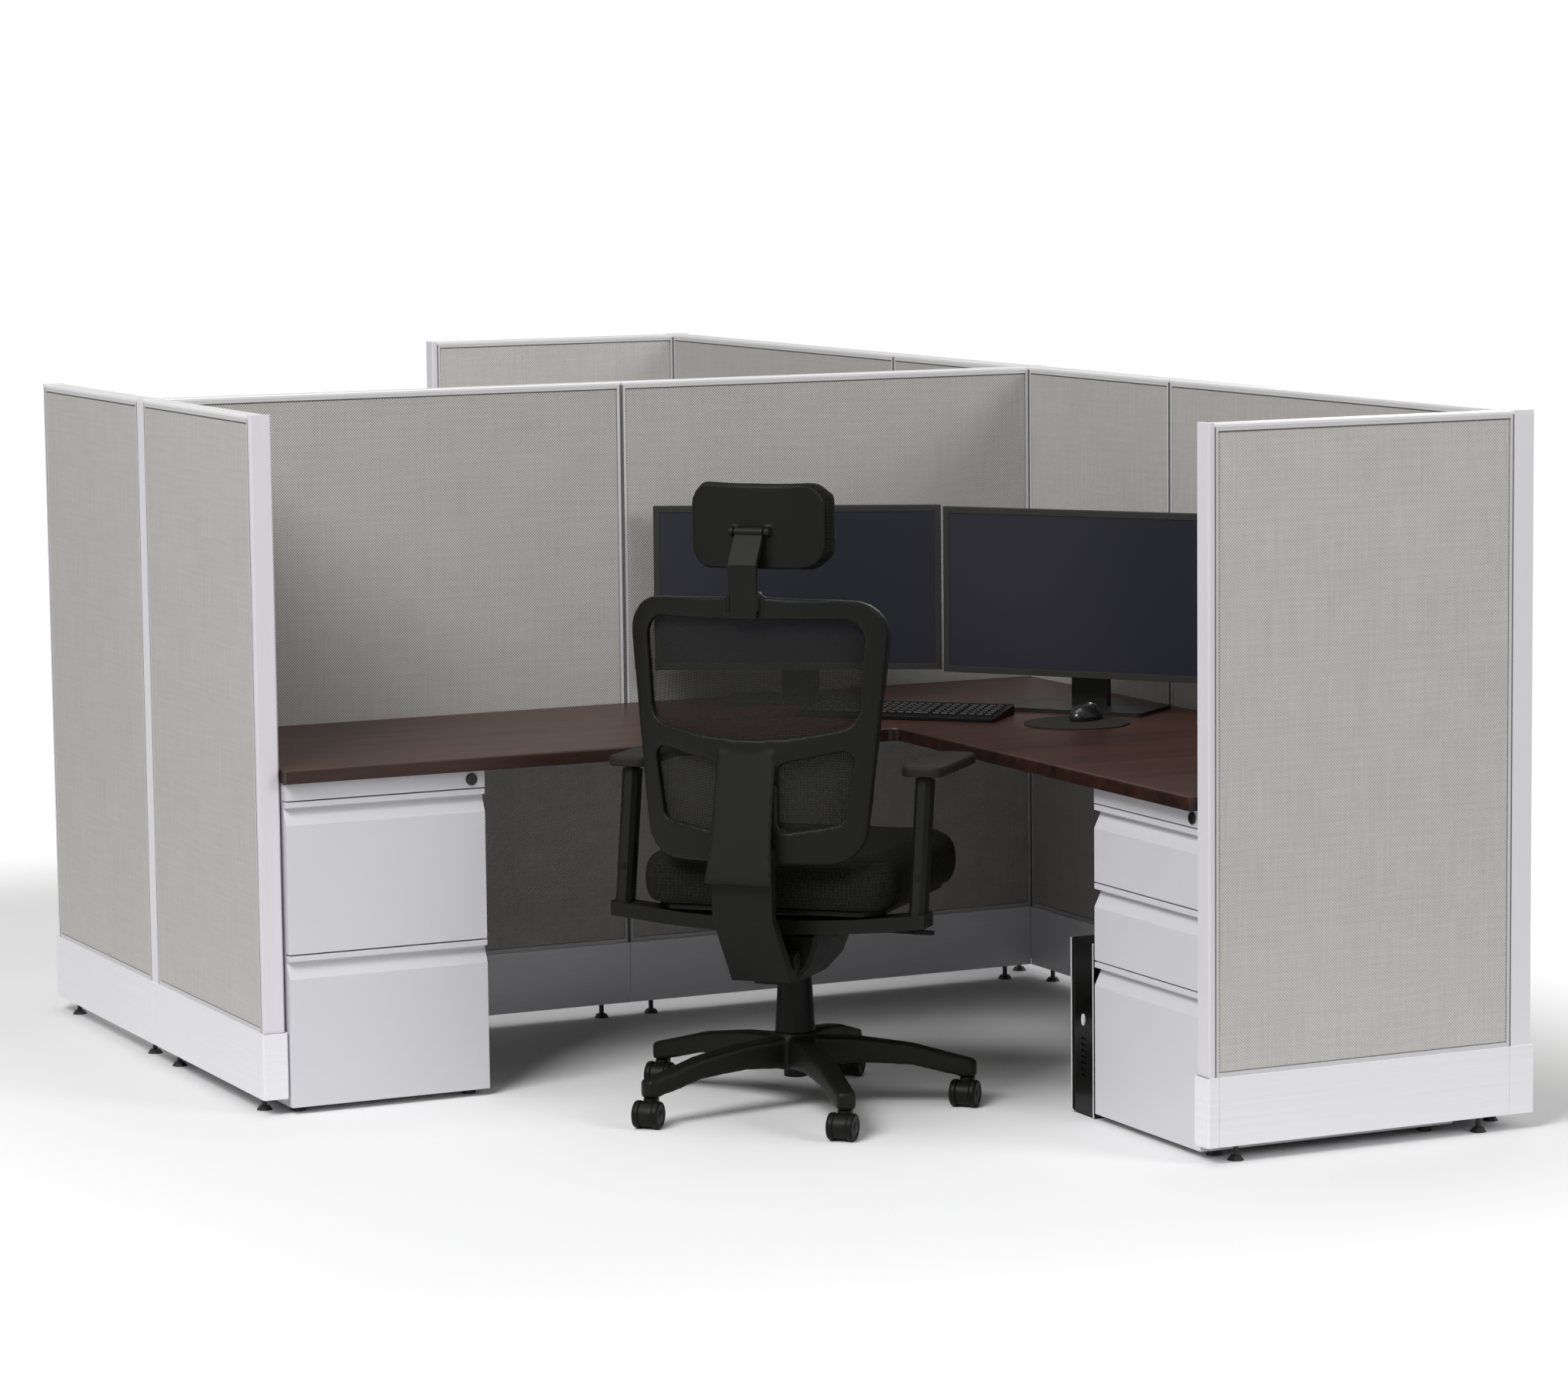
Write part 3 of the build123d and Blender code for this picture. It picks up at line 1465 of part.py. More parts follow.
def headrest_pad():
    """The crowned cushion on the front of the headrest plate."""
    width = headrest_width + 2 * headrest_pad_margin
    height = headrest_height + 2 * headrest_pad_margin
    front = oriented(headrest, (0, -headrest_pad_margin, 0), (1, 0, 0), (0, 0, 1))
    with BuildPart() as pad:
        near = -mesh_gap - headrest_pad_thickness
        extrude(
            bent_band(front, width / 2, headrest_radius, headrest_sagitta, near, -mesh_gap),
            amount=height + 2 * overrun,
        )
        with BuildSketch(headrest):
            with Locations((0, headrest_height / 2)):
                Rectangle(width, height)
            chamfer(vertices(), headrest_corner * 2 / 3)
        extrude(amount=2 * headrest_sagitta, both=True, mode=Mode.INTERSECT)
        rims = [face for face in faces() if face.geom_type == GeomType.CYLINDER]
        rims = sorted(rims, key=lambda face: face.area)[-2:]
        chamfer(rims[0].edges(), headrest_pad_crown)
    return pad.part


# Monitors. In a monitor's frame +x is right and +y points away from the viewer.
monitor_bottom = desk_height + monitor_lift
monitors = {
    "left": standing(left_monitor_x, left_monitor_y, left_monitor_turn),
    "right": standing(right_monitor_x, right_monitor_y, right_monitor_turn),
}
tilt_height = monitor_bottom + monitor_height * neck_top_share
tilt_back = neck_back - tilt_barrel_radius - pivot_gap


def monitor_head(base):
    """The display housing with its recessed screen and rear tilt ears."""
    middle = monitor_bottom + monitor_height / 2
    with BuildPart() as head:
        with BuildSketch(upright(base, 0, 0, middle)):
            Rectangle(monitor_width, monitor_height)
        extrude(amount=-monitor_thickness)
        with BuildSketch(upright(base, 0, 0, middle)):
            Rectangle(monitor_width - 2 * monitor_bezel, monitor_height - 2 * monitor_bezel)
        extrude(amount=-screen_recess - screen_thickness - screen_gap, mode=Mode.SUBTRACT)
        with BuildSketch(upright(base, 0, monitor_thickness, middle)):
            Rectangle(monitor_width * monitor_bulge_share, monitor_height * monitor_bulge_share)
        extrude(amount=-monitor_bulge)
        rear = faces().sort_by(Axis(base.origin, turned(base, (0, 1, 0))))[-1]
        chamfer(rear.edges(), monitor_bulge / 2)
        for side in (-1, 1):
            with BuildSketch(sideways(base, side * (tilt_ear + pivot_gap) * 3 / 2, 0, tilt_height)):
                with Locations((tilt_back, 0)):
                    RegularPolygon(tilt_barrel_radius, barrel_sides)
                reach = tilt_back - monitor_thickness - monitor_bulge / 2
                with Locations((tilt_back - reach / 2, 0)):
                    Rectangle(reach, 2 * tilt_barrel_radius)
                with Locations((tilt_back, 0)):
                    bore = tilt_pin_radius + shaft_clearance
                    RegularPolygon(bore, barrel_sides, major_radius=False, mode=Mode.SUBTRACT)
            extrude(amount=tilt_ear / 2, both=True)
        with BuildSketch(upright(base, 0, screen_recess, middle)):
            margin = monitor_bezel + screen_gap
            Rectangle(monitor_width - 2 * margin, monitor_height - 2 * margin)
        extrude(amount=-screen_thickness)
    return head.part


def monitor_stand(base):
    """The flat base plate and neck with the tilt barrel."""
    with BuildPart() as stand:
        with BuildSketch(level(base, 0, stand_back, desk_height)):
            RectangleRounded(stand_width, stand_depth, stand_corner)
        extrude(amount=stand_thickness)
        neck_height = tilt_height + tilt_barrel_radius - desk_height
        with BuildSketch(upright(base, 0, neck_back, desk_height)):
            with Locations((0, neck_height / 2)):
                Rectangle(neck_width, neck_height)
        extrude(amount=-neck_thickness)
        with BuildSketch(sideways(base, 0, 0, tilt_height)):
            with Locations((tilt_back, 0)):
                RegularPolygon(tilt_barrel_radius, barrel_sides)
            with Locations((neck_back - tilt_barrel_radius / 2, 0)):
                Rectangle(tilt_barrel_radius, 2 * tilt_barrel_radius)
        extrude(amount=tilt_ear, both=True)
        with BuildSketch(sideways(base, 0, tilt_back, tilt_height)):
            RegularPolygon(tilt_pin_radius, barrel_sides)
        extrude(amount=2 * tilt_ear + pivot_gap, both=True)
    return stand.part


def keyboard():
    """A full-size keyboard: wedge body and rows of keys."""
    base = standing(keyboard_x, keyboard_y, keyboard_turn)
    slope = degrees(asin((keyboard_back_height - keyboard_front_height) / keyboard_depth))
    run_back = keyboard_depth / 2
    with BuildPart() as board:
        with BuildSketch(sideways(base, 0, 0, desk_height)):
            with BuildLine():
                Polyline(
                    (-run_back, 0),
                    (run_back, 0),
                    (run_back, keyboard_back_height),
                    (-run_back, keyboard_front_height),
                    close=True,
                )
            make_face()
        extrude(amount=keyboard_width / 2, both=True)
        upright_edges = edges().filter_by(Axis.Z)
        fillet(upright_edges, keyboard_corner)
        tilt = radians(slope)
        middle = (keyboard_back_height + keyboard_front_height) / 2
        deck = oriented(base, (0, 0, desk_height + middle), (1, 0, 0), (0, -sin(tilt), cos(tilt)))
        with BuildSketch(deck.offset(-overrun)):
            for row_number in range(key_rows):
                across = run_back - key_back_margin - (row_number + 0.5) * key_pitch
                for centre, columns in zip(key_block_centres, key_block_columns):
                    with Locations((centre * key_pitch, across)):
                        Rectangle(columns * key_pitch - key_gap, key_pitch - key_gap)
        extrude(amount=key_height + overrun)
    return board.part


def mouse():
    """A low, rounded mouse on the pad."""
    base = standing(mouse_x, mouse_y, mouse_turn)
    low = desk_height + pad_thickness
    with BuildPart() as body:
        with BuildSketch(level(base, 0, 0, low)):
            Rectangle(mouse_width, mouse_length)
            chamfer(vertices(), mouse_width * mouse_corner_share)
        extrude(amount=mouse_height)
        for height_share, taper_share in zip(mouse_heights_share, mouse_cuts_share):
            top = faces().sort_by(Axis.Z)[-1]
            chamfer(top.edges(), height_share * mouse_height, taper_share * mouse_width)
    return body.part


def mouse_pad():
    with BuildPart() as pad:
        with BuildSketch(level(standing(pad_x, pad_y, 0), 0, 0, desk_height)):
            RegularPolygon(pad_radius, 2 * round_sides)
        extrude(amount=pad_thickness)
    return pad.part


tower = Plane(
    origin=(tower_front_x, box_pedestal["frame"].origin.Y + box_pedestal_width / 2 + tower_gap + tower_width / 2, 0),
    x_dir=(0, -1, 0),
    z_dir=(0, 0, 1),
)


def computer_tower():
    """A slim upright computer with bright front edge strips, vents and small feet."""
    half = tower_width / 2
    with BuildPart() as case:
        with BuildSketch(upright(tower, 0, 0, tower_foot_height)):
            with Locations((0, (tower_height - tower_foot_height) / 2)):
                Rectangle(tower_width, tower_height - tower_foot_height)
            chamfer(vertices(), tower_corner)
        extrude(amount=-tower_depth)
        for side in (-1, 1):
            with BuildSketch(upright(tower, 0, 0, tower_foot_height + tower_corner)):
                with Locations((side * (half - tower_strip / 2), (tower_height - tower_foot_height) / 2 - tower_corner)):
                    Rectangle(tower_strip, tower_height - tower_foot_height - 2 * tower_corner)
            extrude(amount=tower_strip)
            for along in (2 * tower_width / 3, tower_depth - 2 * tower_width / 3):
                with BuildSketch(level(tower, side * (half - 3 * tower_corner), along, 0)):
                    RegularPolygon(2 * tower_corner, glide_sides)
                extrude(amount=tower_foot_height)
        with BuildSketch(upright(tower, 0, 0, tower_button_height)):
            add(oval(tower_button_width / 2 + arm_play, tower_button_length / 2 + arm_play))
        extrude(amount=-2 * tower_button_depth, mode=Mode.SUBTRACT)
        with BuildSketch(upright(tower, 0, 0, 0)):
            for number in range(vent_count):
                with Locations((0, vent_top - number * vent_pitch)):
                    Rectangle(vent_width, vent_slot)
        extrude(amount=-vent_depth, mode=Mode.SUBTRACT)
    return case.part


def tower_power_button():
    with BuildPart() as button:
        with BuildSketch(upright(tower, 0, -tower_button_proud, tower_button_height)):
            add(oval(tower_button_width / 2, tower_button_length / 2))
        extrude(amount=-tower_button_depth)
    return button.part


save(panel_frames(side_runs), "side_panel_frames")
save(panel_frames(spine_runs), "spine_panel_frames")
save(panel_frames(wall_runs), "wall_panel_frames")
save(fabric_tiles(side_runs), "side_fabric_tiles")
save(fabric_tiles(spine_runs), "spine_fabric_tiles")
save(fabric_tiles(wall_runs), "wall_fabric_tiles")
save(connector_posts(), "connector_posts")
save(top_caps(), "top_caps")
save(end_covers(), "end_covers")
save(base_covers(), "base_covers")
save(levelling_glides(), "levelling_glides")
save(worksurface(-1), "worksurface_near")
save(worksurface(1), "worksurface_far")
save(worksurface_brackets(), "worksurface_brackets")

save(pedestal_case(file_pedestal, file_rows), "file_pedestal_case")
for name, (bottom, height) in zip(("upper", "lower"), file_rows):
    save(drawer(file_pedestal, bottom, height), f"file_drawer_{name}")
save(pedestal_lock(file_pedestal), "file_pedestal_lock")
save(pedestal_case(box_pedestal, box_rows), "box_pedestal_case")
for name, (bottom, height) in zip(("upper", "middle", "lower"), box_rows):
    save(drawer(box_pedestal, bottom, height), f"box_drawer_{name}")
save(pedestal_lock(box_pedestal), "box_pedestal_lock")

save(chair_base(), "chair_base")
for number, angle in enumerate(leg_angles, start=1):
    save(caster_yoke(angle), f"caster_yoke_{number}")
    save(caster_wheels(angle), f"caster_wheels_{number}")
save(gas_spring_tube(), "gas_spring_tube")
save(gas_spring_piston(), "gas_spring_piston")
save(tilt_mechanism(), "tilt_mechanism")
save(height_lever(), "height_lever")
save(seat_pan(), "seat_pan")
save(seat_cushion(), "seat_cushion")
save(arm_bracket(), "arm_bracket")
for name, side in (("left", -1), ("right", 1)):
    save(armrest(side), f"armrest_{name}")
    save(arm_button(side), f"arm_button_{name}")
save(back_spine(), "back_spine")
save(back_frame(), "back_frame")
save(back_mesh(), "back_mesh")
save(headrest_stem(), "headrest_stem")
save(headrest_shell(), "headrest_shell")
save(headrest_pad(), "headrest_pad")

for name, base in monitors.items():
    save(monitor_head(base), f"monitor_{name}_head")
    save(monitor_stand(base), f"monitor_{name}_stand")
save(keyboard(), "keyboard")
save(mouse(), "mouse")
save(mouse_pad(), "mouse_pad")
save(computer_tower(), "computer_tower")
save(tower_power_button(), "tower_power_button")
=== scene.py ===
import json
from math import asin, cos, pi, radians, sin, sqrt

import bmesh
import bpy
from mathutils import Matrix, Vector

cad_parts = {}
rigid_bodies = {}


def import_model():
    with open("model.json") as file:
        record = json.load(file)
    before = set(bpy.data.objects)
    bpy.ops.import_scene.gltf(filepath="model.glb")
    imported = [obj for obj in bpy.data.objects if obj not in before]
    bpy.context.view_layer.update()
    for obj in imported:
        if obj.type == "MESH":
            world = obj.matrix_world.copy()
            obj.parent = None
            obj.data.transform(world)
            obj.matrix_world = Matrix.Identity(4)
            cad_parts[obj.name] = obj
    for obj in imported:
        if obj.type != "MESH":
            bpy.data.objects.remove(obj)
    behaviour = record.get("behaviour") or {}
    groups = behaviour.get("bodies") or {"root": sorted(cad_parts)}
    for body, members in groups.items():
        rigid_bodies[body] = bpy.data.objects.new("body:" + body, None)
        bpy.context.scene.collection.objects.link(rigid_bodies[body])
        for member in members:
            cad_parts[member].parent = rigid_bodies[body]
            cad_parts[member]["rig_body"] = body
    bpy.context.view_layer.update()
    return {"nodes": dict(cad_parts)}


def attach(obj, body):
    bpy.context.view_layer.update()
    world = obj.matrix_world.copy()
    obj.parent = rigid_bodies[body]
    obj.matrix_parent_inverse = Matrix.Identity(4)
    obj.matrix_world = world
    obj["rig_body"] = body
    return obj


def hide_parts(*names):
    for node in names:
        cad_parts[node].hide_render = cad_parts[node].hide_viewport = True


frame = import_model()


# Panel frames, connector posts and top caps: roll-formed steel rails welded into open frames,
# hooked together at posts and closed along the top by clipped-on caps. Silver-white powder
# coat all over, a little brighter on the caps.
def srgb(red, green, blue):
    """A paint colour given in the usual 0 to 255 steps."""
    return tuple(((c / 255 + 0.055) / 1.055) ** 2.4 for c in (red, green, blue)) + (1.0,)


def place(tree, kind, feeds=None, **settings):
    """Adds a shader node, sets it up, and feeds its inputs from sockets or plain values."""
    node = tree.nodes.new("ShaderNode" + kind)
    for key, value in settings.items():
        setattr(node, key, value)
    for socket, value in (feeds or {}).items():
        if isinstance(value, bpy.types.NodeSocket):
            tree.links.new(value, node.inputs[socket])
        else:
            node.inputs[socket].default_value = value
    return node


def sums(tree, operation, first, second=0.0):
    """One step of arithmetic."""
    return place(tree, "Math", {0: first, 1: second}, operation=operation).outputs[0]


def effect(name, inputs, outputs):
    """An empty node group, with the sockets it takes in and gives out."""
    group = bpy.data.node_groups.new(name, "ShaderNodeTree")
    for socket in inputs + outputs:
        kind = "NodeSocketColor" if socket == "Color" else "NodeSocketFloat"
        if socket in inputs:
            group.interface.new_socket(socket, in_out="INPUT", socket_type=kind)
        if socket in outputs:
            group.interface.new_socket(socket, in_out="OUTPUT", socket_type=kind)
    given = group.nodes.new("NodeGroupInput").outputs
    made = group.nodes.new("NodeGroupOutput").inputs
    return group, given, made


def finish(name, group, values, relief=0.0, **even):
    """A material: its surface comes from a node group, its even values sit on the shader."""
    material = bpy.data.materials.new(name)
    material.use_nodes = True
    tree = material.node_tree
    shader = tree.nodes["Principled BSDF"]
    surface = tree.nodes.new("ShaderNodeGroup")
    surface.node_tree = group
    for socket, value in values.items():
        surface.inputs[socket].default_value = value
    for source, target in (("Color", "Base Color"), ("Roughness", "Roughness"), ("Alpha", "Alpha")):
        if surface.outputs.get(source):
            tree.links.new(surface.outputs[source], shader.inputs[target])
    if surface.outputs.get("Height"):
        bump = place(tree, "Bump", {"Height": surface.outputs["Height"], "Distance": relief})
        tree.links.new(bump.outputs["Normal"], shader.inputs["Normal"])
    for socket, value in even.items():
        shader.inputs[socket.replace("_", " ")].default_value = value
    return material


def dress(material, *names):
    """Gives CAD nodes their finish."""
    for name in names:
        for slot in frame["nodes"][name].material_slots:
            slot.material = material


def tinted(tree, colour, change):
    """A colour made lighter or darker by change, which swings about zero."""
    value = sums(tree, "ADD", change, 1.0)
    return place(tree, "HueSaturation", {"Color": colour, "Value": value}).outputs[0]


def swing(tree, vector, scale, size, detail=2.0):
    """Noise about zero, of a given strength."""
    noise = place(tree, "TexNoise", {"Vector": vector, "Scale": scale, "Detail": detail})
    return sums(tree, "MULTIPLY", sums(tree, "SUBTRACT", noise.outputs[0], 0.5), size)


def stretched(tree, across, rise, across_scale, rise_scale):
    """A flat pattern vector that runs along a panel and up it."""
    flat = place(tree, "CombineXYZ", {
        "X": sums(tree, "MULTIPLY", across, across_scale),
        "Z": sums(tree, "MULTIPLY", rise, rise_scale),
    })
    return flat.outputs[0]


def run_and_rise(tree):
    """The place in the part, the distance along a wall whichever way it faces, and the height."""
    here = place(tree, "TexCoord").outputs["Object"]
    apart = place(tree, "SeparateXYZ", {0: here}).outputs
    return here, sums(tree, "ADD", apart["X"], apart["Y"]), apart["Z"]


powder_coat, given, made = effect(
    "powder_coat", ["Color", "Roughness", "Along", "Upright", "Streaks"],
    ["Color", "Roughness", "Height"],
)
tree = powder_coat
here, run, rise = run_and_rise(tree)
lines = stretched(tree, run, rise, given["Along"], given["Upright"])
streak = swing(tree, lines, scale=1.0, size=1.0, detail=3.0)
streak = sums(tree, "MULTIPLY", streak, given["Streaks"])
tone = sums(tree, "ADD", streak, swing(tree, here, scale=2.3, size=0.05))
tree.links.new(tinted(tree, given["Color"], tone), made["Color"])
tree.links.new(sums(tree, "ADD", given["Roughness"], streak), made["Roughness"])
tree.links.new(swing(tree, here, scale=900.0, size=1.0), made["Height"])


def painted_steel(name, colour, roughness, along=3.0, upright=3.0, streaks=0.03, relief=0.00002):
    """Powder coat, with faint streaks that are finest across the way the sheet was brushed."""
    return finish(name, powder_coat, {
        "Color": srgb(*colour), "Roughness": roughness,
        "Along": along, "Upright": upright, "Streaks": streaks,
    }, relief)


frame_paint = painted_steel("frame_powder_coat", (206, 206, 208), roughness=0.42)
post_paint = painted_steel(
    "post_powder_coat", (228, 227, 232), roughness=0.4, along=500.0, upright=2.0, streaks=0.05
)
cap_paint = painted_steel("cap_powder_coat", (232, 232, 234), roughness=0.3)
dress(frame_paint, "side_panel_frames", "spine_panel_frames", "wall_panel_frames")
dress(post_paint, "connector_posts")
dress(cap_paint, "top_caps")


# Fabric tiles: fibreboard tiles wrapped in woven cloth and pressed into both sides of each frame.
# The cloth is a light grey basket weave whose dots lie on a diagonal, with uneven yarns
# that show as faint streaks both ways.
weave_pitch = 0.0064
panel_cloth, given, made = effect("panel_cloth", ["Color", "Dots"], ["Color", "Height"])
tree = panel_cloth
here, run, rise = run_and_rise(tree)
turns = 2 * pi / weave_pitch
across = sums(tree, "COSINE", sums(tree, "MULTIPLY", run, turns))
upright = sums(tree, "COSINE", sums(tree, "MULTIPLY", rise, turns))
dots = sums(tree, "MULTIPLY", across, upright)
warp_lines = stretched(tree, run, rise, across_scale=150.0, rise_scale=6.0)
warp = swing(tree, warp_lines, scale=1.0, size=0.2)
weft_lines = stretched(tree, run, rise, across_scale=6.0, rise_scale=150.0)
weft = swing(tree, weft_lines, scale=1.0, size=0.14)
cloud = swing(tree, here, scale=9.0, size=0.08)
yarns = sums(tree, "ADD", sums(tree, "ADD", warp, weft), cloud)
shade = sums(tree, "ADD", sums(tree, "MULTIPLY", dots, given["Dots"]), yarns)
tree.links.new(tinted(tree, given["Color"], shade), made["Color"])
tree.links.new(sums(tree, "ADD", dots, yarns), made["Height"])
# The spine and wall tiles carry the same cloth as the side tiles in a darker grey, which is painted
# shade for the light the wing and chair keep off them.
for weave, dot_strength, grey_and_painted_shade, tiles in (
    ("fine_panel_cloth", 0.28, (199, 197, 194), ["side_fabric_tiles"]),
    ("bold_panel_cloth_in_painted_shade", 0.5, (184, 182, 179), ["spine_fabric_tiles", "wall_fabric_tiles"]),
):
    cloth = finish(
        weave, panel_cloth, {"Color": srgb(*grey_and_painted_shade), "Dots": dot_strength}, relief=0.0004,
        Roughness=0.95, Specular_IOR_Level=0.15,
    )
    dress(cloth, *tiles)


# Reveal gaskets and painted shadow: thin grey strips of soft plastic, pressed down both edges
# of every frame, show as the fine lines beside the posts. Strips of the same grey along the top of
# every tile are painted shadow under the caps.
gasket_width, face_strip_depth, face_strip_proud, painted_cap_shadow_height = 0.0028, 0.001, 0.00025, 0.0016
weld_gap = 0.00002

moulded_nylon, given, made = effect(
    "moulded_nylon", ["Color", "Roughness", "Grain"], ["Color", "Roughness", "Height"]
)
tree = moulded_nylon
here = place(tree, "TexCoord").outputs["Object"]
cloud = swing(tree, here, scale=14.0, size=0.14)
pebbles = place(tree, "TexVoronoi", {"Vector": here, "Scale": given["Grain"]}).outputs[0]
tree.links.new(tinted(tree, given["Color"], cloud), made["Color"])
tree.links.new(sums(tree, "ADD", given["Roughness"], cloud), made["Roughness"])
tree.links.new(pebbles, made["Height"])


def grained(name, colour, roughness, grain, relief, **even):
    """Moulded plastic, or bare or painted metal, with a fine pebble grain."""
    values = {"Color": srgb(*colour), "Roughness": roughness, "Grain": grain}
    return finish(name, moulded_nylon, values, relief, **even)


def made_from(name, shape):
    """A new object that takes over a finished shape."""
    mesh = bpy.data.meshes.new(name)
    shape.to_mesh(mesh)
    shape.free()
    piece = bpy.data.objects.new(name, mesh)
    bpy.context.scene.collection.objects.link(piece)
    return piece


def painted(piece, material):
    """Gives a new piece its one finish."""
    piece.data.materials.clear()
    piece.data.materials.append(material)
    return piece


def islands(node):
    """The lowest and highest corner of each separate solid in a node."""
    shape = bmesh.new()
    shape.from_mesh(frame["nodes"][node].data)
    bmesh.ops.remove_doubles(shape, verts=shape.verts, dist=weld_gap)
    found = set()
    for first in shape.verts:
        if first in found:
            continue
        solid, reached = {first}, [first]
        while reached:
            vertex = reached.pop()
            fresh = {e.other_vert(vertex) for e in vertex.link_edges} - solid
            solid |= fresh
            reached.extend(fresh)
        found |= solid
        spots = [vertex.co for vertex in solid]
        yield [Vector([pick(c[axis] for c in spots) for axis in range(3)]) for pick in (min, max)]
    shape.free()


def strip(shape, low, high):
    """Adds a slender box between two corners."""
    box = bmesh.ops.create_cube(shape, size=1.0)["verts"]
    bmesh.ops.scale(shape, vec=high - low, verts=box)
    bmesh.ops.translate(shape, vec=(low + high) / 2, verts=box)


def thin_way(low, high):
    """The axis across a panel or tile: 0 for x, 1 for y."""
    return 1 if high.x - low.x > high.y - low.y else 0


def face_strip(shape, low, high, limits, axis, across, side, face):
    """Adds a strip on one face of a panel, between two limits along one axis."""
    low, high = low.copy(), high.copy()
    low[axis], high[axis] = limits
    low[across], high[across] = sorted((face + side * face_strip_proud, face - side * face_strip_depth))
    strip(shape, low, high)


shape = bmesh.new()
for part in ("side", "spine", "wall"):
    panels = list(islands(f"{part}_panel_frames"))
    for low, high in panels:
        across = thin_way(low, high)
        along = 1 - across
        near_end = (low[along], low[along] + gasket_width)
        far_end = (high[along] - gasket_width, high[along])
        for side, face in ((-1, low[across]), (1, high[across])):
            for limits in (near_end, far_end):
                face_strip(shape, low, high, limits, along, across, side, face)
    # Painted shadow: a dark strip along the top of each tile stands in for the shadow under the
    # cap.
    for low, high in islands(f"{part}_fabric_tiles"):
        across = thin_way(low, high)
        middle = (low + high) / 2
        home = min(panels, key=lambda panel: ((panel[0] + panel[1]) / 2 - middle).length)
        side = 1 if middle[across] > (home[0][across] + home[1][across]) / 2 else -1
        face = home[1][across] if side > 0 else home[0][across]
        face_strip(shape, low, high, (high.z, high.z + painted_cap_shadow_height), 2, across, side, face)
gasket_and_shadow_grey = grained(
    "gasket_plastic_and_painted_shadow", (104, 102, 102), roughness=0.6, grain=1500.0, relief=0.00001,
    Specular_IOR_Level=0.2,
)
gaskets_and_cap_shadows = painted(made_from("reveal_gaskets_and_painted_cap_shadows", shape), gasket_and_shadow_grey)
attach(gaskets_and_cap_shadows, "workstation")


# End covers: flat steel covers clipped over the free ends of the run. Their satin paint is an
# off-white with a touch of violet, and keeps the upright brush marks of the sheet.
end_paint = painted_steel(
    "end_cover_paint", (222, 220, 226), roughness=0.4, along=420.0, upright=1.5, streaks=0.1
)
dress(end_paint, "end_covers")


# Base covers: long pressed raceway covers on both faces, with separate corner and end caps.
# The sheet is brushed lengthwise under its silver-white paint.
base_paint = painted_steel(
    "base_cover_paint", (236, 235, 240), roughness=0.38, along=1.5, upright=420.0, streaks=0.12
)
dress(base_paint, "base_covers")


# Levelling glides and worksurface brackets: black nylon feet on threaded stems, and pressed
# steel brackets hooked into the panel slots, painted matt black.
glide_nylon = grained("glide_nylon", (30, 30, 31), roughness=0.5, grain=900.0, relief=0.00005)
bracket_paint = grained("bracket_paint", (44, 44, 45), roughness=0.6, grain=1200.0, relief=0.00003)
dress(glide_nylon, "levelling_glides")
dress(bracket_paint, "worksurface_brackets")


# Worksurfaces: one L-shaped board on each side of the spine, faced with a dark mahogany
# laminate whose grain runs the long way. Its upright edges are painted darker as shade.
broad_grain, fine_grain = (1.1, 26.0, 26.0), (9.0, 420.0, 420.0)
figure_strength, pore_strength, painted_edge_shade = 2.2, 0.5, -0.45
laminate_wood, given, made = effect(
    "mahogany_laminate", ["Color"], ["Color", "Roughness", "Height"]
)
tree = laminate_wood
here = place(tree, "TexCoord").outputs["Object"]
flow = place(tree, "Mapping", {"Vector": here, "Scale": broad_grain}).outputs[0]
broad = place(tree, "TexNoise", {"Vector": flow, "Scale": 1.0, "Detail": 6.0, "Distortion": 0.6})
fine = place(tree, "Mapping", {"Vector": here, "Scale": fine_grain}).outputs[0]
pores = swing(tree, fine, scale=1.0, size=pore_strength, detail=4.0)
figure = sums(tree, "SUBTRACT", broad.outputs[0], 0.5)
figure = sums(tree, "MULTIPLY", figure, figure_strength)
# Painted shade: faces that stand upright, such as the board edges, are made darker.
facing = place(tree, "SeparateXYZ", {0: place(tree, "NewGeometry").outputs["Normal"]}).outputs["Z"]
upright = sums(tree, "GREATER_THAN", 0.5, sums(tree, "ABSOLUTE", facing))
edge = sums(tree, "MULTIPLY", upright, painted_edge_shade)
tone = sums(tree, "ADD", sums(tree, "ADD", figure, pores), edge)
sheen = sums(tree, "ADD", 0.36, sums(tree, "MULTIPLY", pores, 0.3))
tree.links.new(tinted(tree, given["Color"], tone), made["Color"])
tree.links.new(sheen, made["Roughness"])
tree.links.new(pores, made["Height"])
mahogany = finish(
    "mahogany_laminate", laminate_wood, {"Color": srgb(58, 32, 23)}, relief=0.00004,
    Specular_IOR_Level=0.35,
)


def roll_over(shape, edges, roll, segments):
    """Rounds some edges of a shape."""
    bmesh.ops.bevel(
        shape, geom=edges, offset=roll, offset_type="OFFSET", segments=segments, profile=0.5,
        affect="EDGES", clamp_overlap=True, material=-1,
    )


def smooth_shaded(shape):
    for face in shape.faces:
        face.smooth = True


def settled(piece, body, *nodes):
    """Fixes a piece to its body and lets it stand for CAD nodes."""
    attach(piece, body)
    if nodes:
        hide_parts(*nodes)
    return piece


